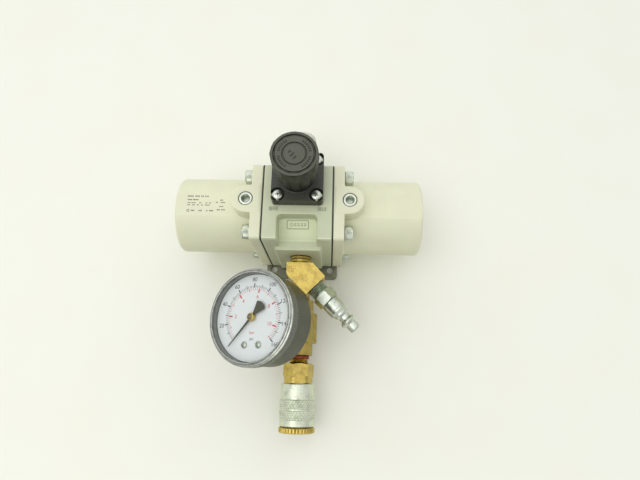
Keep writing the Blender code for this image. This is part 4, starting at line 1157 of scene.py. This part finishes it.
def coupler_valve():
    rear = -span("coupler_valve")[1].y
    profile = [(0, rear + 6.6), (1.8, rear + 6.6), (2.2, rear + 7.0), (3.4, rear + 7.0),
               (5.9, rear + 4.0), (5.9, rear), (0, rear)]
    stand_for(turned("coupler_valve", eased(profile, 0.2), OUTLET_AT, FORWARD, 64), "coupler_valve")


# ---------------------------------------------------------------------- gauge

DIAL_TOP = 62.6                # along the gauge's axis, from the tee's axis
CASE_RADIUS = 29.7
RIM_RADIUS = 31.0
GAUGE_FRONT = 68.0


def on_dial(angle, radius, height=DIAL_TOP):
    """Point of the dial at an angle in degrees clockwise from its top."""
    turn = math.radians(90 - angle)
    return here(GAUGE_AT, GAUGE_TURN) @ (Vector((radius * math.cos(turn), radius * math.sin(turn),
                                                 height)) * MM) / MM


def lifted(height):
    return Matrix.Translation((0, 0, height * MM))


def gauge_turned(name, profile, steps=96, relief=None):
    return turned(name, profile, GAUGE_AT, GAUGE_TURN, steps, relief)


def gauge_case():
    wall, back, lip = 1.6, 37.8, 61.8
    profile = [(CASE_RADIUS - wall, lip), (CASE_RADIUS, lip), (CASE_RADIUS, back + 2.6),
               *arc((CASE_RADIUS - 2.6, back + 2.6), 2.6, 0, -90, 8), (6.3, back),
               (6.3, back + wall), (CASE_RADIUS - wall - 1, back + wall),
               (CASE_RADIUS - wall, back + wall + 1)]
    stand_for(gauge_turned("gauge_case", profile, 160), "gauge_case")


def gauge_lens():
    """Clear front with a ridged rim that snaps over the case, and the wall inside it."""
    low, top = 58.8, GAUGE_FRONT
    face = [(0, top - 0.1), (27.9, top - 0.1), (27.9, top - 1.2), (0, top - 1.2)]
    stand_for(gauge_turned("gauge_lens", face, 128), "gauge_lens")
    skirt_top = top - 2.6
    rim = [(27.9, top - 0.3), (28.2, top), (28.7, top), (28.95, top - 0.45), (29.3, top - 0.45),
           (29.5, top - 0.2), (29.9, top - 0.4), (30.2, top - 1.1), (30.3, top - 1.6),
           (30.8, top - 1.8), (RIM_RADIUS, top - 2.1), (RIM_RADIUS, skirt_top), (27.9, skirt_top)]

    def serrated(angle, radius, height):
        edge = radius > RIM_RADIUS - 0.15 and height < top - 2.0
        return -0.22 * triangle_wave(120 * angle / (2 * math.pi)) if edge else 0.0

    rim_piece = gauge_turned("rim", rim, 480, serrated)
    extra(rim_piece, "gauge_rim", "gauge_lens", GAUGE_RIM, 20)
    skirt = [(RIM_RADIUS, skirt_top - 0.02), (RIM_RADIUS, low + 0.4), (RIM_RADIUS - 0.3, low),
             (CASE_RADIUS + GAP, low), (CASE_RADIUS + GAP, 62.1), (28.2, 62.1), (27.9, 62.4),
             (27.9, skirt_top - 0.02)]
    skirt_piece = gauge_turned("skirt", skirt, 480, serrated)
    extra(skirt_piece, "gauge_lens_skirt", "gauge_lens", GAUGE_SKIRT, 20)
    wall = [(27.85, top - 1.3), (27.88, top - 1.3), (27.88, 62.5), (27.85, 62.5)]
    extra(gauge_turned("wall", wall, 128), "gauge_inner_wall", "gauge_lens", GAUGE_WALL)


def gauge_dial():
    holes = [ring((0, 0), 1.6), ring((-5.2, -17.0), 1.3, 24), ring((5.2, -17.0), 1.3, 24)]
    at = on_dial(0, 0, DIAL_TOP - 0.4)
    dial = plate("gauge_dial", [ring((0, 0), 27.6, 128), *holes], 0.8, at, GAUGE_TURN)
    stand_for(dial, "gauge_dial")
    extra(merge("scale", black_scale()), "scale_outer", "gauge_dial", INK_BLACK)
    extra(merge("scale", red_scale()), "scale_inner", "gauge_dial", INK_RED)


SWEEP = 270.0
FULL_SCALE = 160.0             # outer scale; the inner one counts in units of 14.5 of it
INNER_UNIT = 14.504


def dial_angle(value):
    return SWEEP * (value / FULL_SCALE - 0.5)


def tick(angle, inner, outer, width):
    mark = box((-width / 2, inner, -0.01), (width / 2, outer, 0.02))
    mark.matrix_world = here(GAUGE_AT, GAUGE_TURN) @ lifted(DIAL_TOP) @ spun(-angle)
    return mark


def words_on_dial(words, size, angle, radius):
    return lettering(words, size, on_dial(angle, radius, DIAL_TOP + 0.01), GAUGE_TURN)


def scale(counts, long_ones, unit, ticks, numbers, label):
    """Ticks, numbers and unit of one scale.

    ticks holds inner radius, outer radius and width of the long, middle and short ticks;
    numbers holds what a count is divided by, then the numbers' size and radius.
    """
    marks = []
    for count in counts:
        kind = 0 if count in long_ones else 1 if count % 10 == 0 else 2
        marks.append(tick(dial_angle(count * unit), *ticks[kind]))
    divisor, size, radius = numbers
    for count in long_ones:
        if count:
            words = str(count // divisor)
            marks.append(words_on_dial(words, size, dial_angle(count * unit), radius))
    marks.append(words_on_dial(*label))
    return marks


def black_scale():
    ticks = [(18.9, 21.8, 0.7), (18.9, 21.2, 0.45), (18.9, 20.5, 0.28)]
    return scale(range(0, 161, 2), range(0, 161, 20), 1.0, ticks, (1, 3.7, 24.2),
                 ("psi", 2.6, 180, 13.4))


def red_scale():
    ticks = [(15.7, 18.6, 0.95), (16.8, 18.6, 0.5), (17.4, 18.6, 0.28)]
    return scale(range(0, 111, 2), range(20, 111, 20), INNER_UNIT / 10, ticks, (10, 3.4, 13.2),
                 ("bar", 2.8, 180, 9.6))


def dial_screws():
    top = DIAL_TOP + GAP
    for number, x in enumerate((-5.2, 5.2), 1):
        dome = [(0, 0.9), (0.9, 0.82), (1.6, 0.55), (2.1, 0.12), (2.2, 0), (1.0, 0), (1.0, -3.5),
                (0, -3.5)]
        seat = here(GAUGE_AT, GAUGE_TURN) @ Matrix.Translation(Vector((x, -17.0, top)) * MM)
        screw = turned("screw", dome, steps=48)
        cut(screw, box((-2.5, -0.25, 0.45), (2.5, 0.25, 2.0)))
        screw.matrix_world = seat @ spun(80 + 15 * number)
        stand_for(screw, f"dial_screw_{number}")


def gauge_pointer():
    """Pointer on its stop, just under zero at 138 degrees left of the top, and its hub."""
    blade = [(-0.8, 0), (-0.25, 23.8), (0, 24.3), (0.25, 23.8), (0.8, 0), (1.2, -3.4),
             (3.9, -10.0), *arc((0, -6.6), 5.15, -40, -140, 8), (-3.9, -10.0), (-1.2, -3.4)]
    pointer = plate("gauge_pointer", [blade], 0.4)
    bevel(pointer, 0.08, 2)
    pointer.matrix_world = here(GAUGE_AT, GAUGE_TURN) @ lifted(64.4) @ spun(138)
    stand_for(pointer, "gauge_pointer")
    hub = [(0, 66.0), (0.5, 66.0), (0.7, 66.2), (1.6, 66.2), (2.5, 65.6), (2.6, 63.5), (1.0, 63.0),
           (1.0, 54.0), (0, 54.0)]
    extra(gauge_turned("hub", eased(hub, 0.15), 48), "pointer_hub", "gauge_pointer",
          FINISH["brass"])
    cap = [(0, 66.45), (0.9, 66.4), (1.1, 66.15), (0, 66.15)]
    extra(gauge_turned("cap", cap, 32), "pointer_cap", "gauge_pointer", FINISH["zinc_steel"])


def gauge_stem():
    profile = [(2.5, 44.0), (6.0, 44.0), (6.0, 32.0), (6.8, 31.0), (6.8, 24.0)]
    profile += [*thread_line(23.6, 12.6), (2.5, 12.0)]
    stem = gauge_turned("gauge_stem", profile, relief=thread_relief((12.6, 23.5)))
    flats = box((-7, -7, 24.0), (7, 7, 34.0), 0.4, GAUGE_AT, GAUGE_TURN)
    cut(flats, rod(4.5, 20, 40, GAUGE_AT, GAUGE_TURN))
    join(stem, flats)
    stand_for(stem, "gauge_stem")


# ------------------------------------------------------- bracket and silencer

def bracket_screw_places():
    return [(x, y) for x in (-12.0, 12.0) for y in (-14.0, 14.0)]


def mounting_bracket():
    low, high = span("mounting_bracket")
    outlines = [rounded(rectangle(low.x, low.y, high.x, high.y), 3.0)]
    for x in (-22.5, 22.5):
        for y in (-31.2, 30.5):
            outlines.append(ring((x, y), 2.75, 40))
    bracket = plate("mounting_bracket", outlines, high.z - low.z, (0, 0, (high.z + low.z) / 2))
    bevel(bracket, 0.3, 3)
    for x, y in bracket_screw_places():
        sink = [(0, 4), (2.3, 4), (2.3, 2.3), (4.7, -0.1), (0, -0.1)]
        cut(bracket, turned("sink", sink, (x, y, 0), steps=48))
    stand_for(bracket, "mounting_bracket")


def bracket_screws():
    for number, (x, y) in enumerate(bracket_screw_places(), 1):
        profile = [(0, 11.8), (2.0, 11.8), (2.0, 2.3), (3.9, 0.4), (3.9, 0.3), (0, 0.3)]
        screw = turned("screw", profile, (x, y, 0), steps=48)
        cut(screw, prism(6, 2.5, -1.0, 2.0, (x, y, 0)))
        stand_for(screw, f"bracket_screw_{number}")


def silencer():
    at = (0, 0, SILENCER_Z)
    nut_start = BODY_HIGH.y + GAP
    nut_end, end, radius = 36.5, span("silencer_element")[1].y - 3.0, 9.8
    profile = eased([(3.0, 39.0), (7.0, 39.0), (7.0, 31.0), (6.5, nut_start), (6.5, 18.5),
                     (3.0, 18.5)], 0.2)
    fitting = turned("silencer_fitting", profile, at, REARWARD, 64)
    join(fitting, hex_nut(17.0, nut_start, nut_end, (5.0, 20, 45), at, REARWARD, 0.2))
    smooth_plastic = moulded("smooth_plastic", (0.74, 0.76, 0.64), (0.55, 0.56, 0.46), 0.4, 0.55)
    stand_for(fitting, "silencer_fitting", smooth_plastic)
    start = nut_end + GAP
    outer = [(0, end), *arc((radius - 5.0, end - 5.0), 5.0, 90, 0, 10)]
    outer += [(radius, z) for z in fine(end - 5.5, start + 3.0, 0.6)]
    outer += [(radius, start + 2.6), (radius - 0.3, start + 2.4), (radius, start + 2.2),
              (radius, start), (7.3, start), (7.3, 39.5), (6.0, 39.5), (6.0, 65.0), (0, 65.0)]

    def ribs(angle, r, height):
        on_wall = r > radius - 0.05 and start + 3.0 < height < end - 5.4
        return -0.25 * (0.5 - 0.5 * math.cos(28 * angle)) if on_wall else 0.0

    element = turned("silencer_element", outer, at, REARWARD, 224, ribs)
    stand_for(element, "silencer_element")


def setting_spring():
    """Coil between the diaphragm plate, which stays, and the nut, which travels."""
    thickness, turns, per_turn = 0.8, 3, 32
    low, high = span("setting_spring")
    foot, head = low.z + thickness, high.z - thickness
    radius = (high.x - low.x) / 2 - thickness
    points = []
    for i in range(turns * per_turn + 1):
        angle = 2 * math.pi * i / per_turn
        height = foot + (head - foot) * i / (turns * per_turn)
        points.append((radius * math.cos(angle), radius * math.sin(angle), height))
    coil = wire("setting_spring_look", points, thickness, at=KNOB_AT)
    coil.data.materials.append(FINISH["spring_steel"])
    coil.data.shade_smooth()
    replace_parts(coil, "setting_spring")
    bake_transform(coil)


# -------------------------------------------------------- pieces kept from CAD

def keep_cad_nodes():
    """Give the CAD nodes that stay, all of them inside, their finish."""
    for node, item in frame["nodes"].items():
        if not item.hide_render:
            dress(item, FINISH[SLOT_OF[node]])


# ------------------------------------------------------------ stage and camera

def floor():
    surface = Surface("pale_floor", (0.876, 0.885, 0.765), roughness=0.6, specular=0.2)
    surface.patches(60.0, 5.0, 0.45, 0.7, (0.86, 0.86, 0.72), 0.5)
    bpy.ops.mesh.primitive_plane_add(size=6.0, location=(0, 0, 0))
    ground = bpy.context.object
    ground.name = "floor"
    ground.data.materials.append(surface.material)


def lamp(name, at, size, watts, colour, aim=(0.0, -0.03, 0.04)):
    light = bpy.data.lights.new(name, "AREA")
    light.shape = "RECTANGLE"
    light.size, light.size_y = size
    light.energy = watts
    light.color = colour
    item = show(name, light)
    item.location = at
    item.rotation_euler = (Vector(aim) - Vector(at)).to_track_quat("-Z", "Y").to_euler()


def lights():
    """Soft studio: a sky that brightens evenly towards the rear top, and one large lamp."""
    world = bpy.data.worlds.new("studio")
    bpy.context.scene.world = world
    world.use_nodes = True
    nodes, links = world.node_tree.nodes, world.node_tree.links
    nodes["Background"].inputs["Color"].default_value = (1.0, 1.0, 1.05, 1.0)
    place = nodes.new("ShaderNodeTexCoord")
    towards = nodes.new("ShaderNodeVectorMath")
    towards.operation = "DOT_PRODUCT"
    towards.inputs[1].default_value = (-0.08, 0.50, 0.86)
    ramp = nodes.new("ShaderNodeMapRange")
    for key, number in (("From Min", -1.0), ("From Max", 1.0), ("To Min", 0.08), ("To Max", 1.03)):
        ramp.inputs[key].default_value = number
    links.new(place.outputs["Generated"], towards.inputs[0])
    links.new(towards.outputs["Value"], ramp.inputs["Value"])
    links.new(ramp.outputs["Result"], nodes["Background"].inputs["Strength"])
    lamp("overhead", (-0.25, 0.35, 1.4), (1.8, 1.4), 2.4, (1.0, 1.0, 1.0))
    lamp("front", (-0.50, -0.38, 1.25), (1.2, 0.8), 3.6, (1.0, 1.0, 0.98))


def camera():
    data = bpy.data.cameras.new("camera")
    data.sensor_width = 36.0
    data.lens = 27.09
    data.clip_start = 0.01
    item = show("camera", data)
    item.location = Vector((22.61, -116.78, 381.56)) * MM
    item.rotation_euler = [math.radians(angle) for angle in (16.375, 0.923, 1.353)]
    bpy.context.scene.camera = item


def build():
    for make in (center_body, name_panel, port_marks, gaskets, cylinder_covers, cover_print,
                 cover_screws, port_plugs, bonnet, bonnet_screws, pressure_knob, inlet_elbow,
                 inlet_plug, outlet_nipple, outlet_tee, coupler_body, coupler_sleeve,
                 coupler_end_ring, coupler_valve, gauge_case, gauge_lens, gauge_dial, dial_screws,
                 gauge_pointer, gauge_stem, mounting_bracket, bracket_screws, silencer,
                 setting_spring, keep_cad_nodes, floor, lights, camera):
        make()


build()
bpy.context.scene.view_settings.view_transform = "Standard"
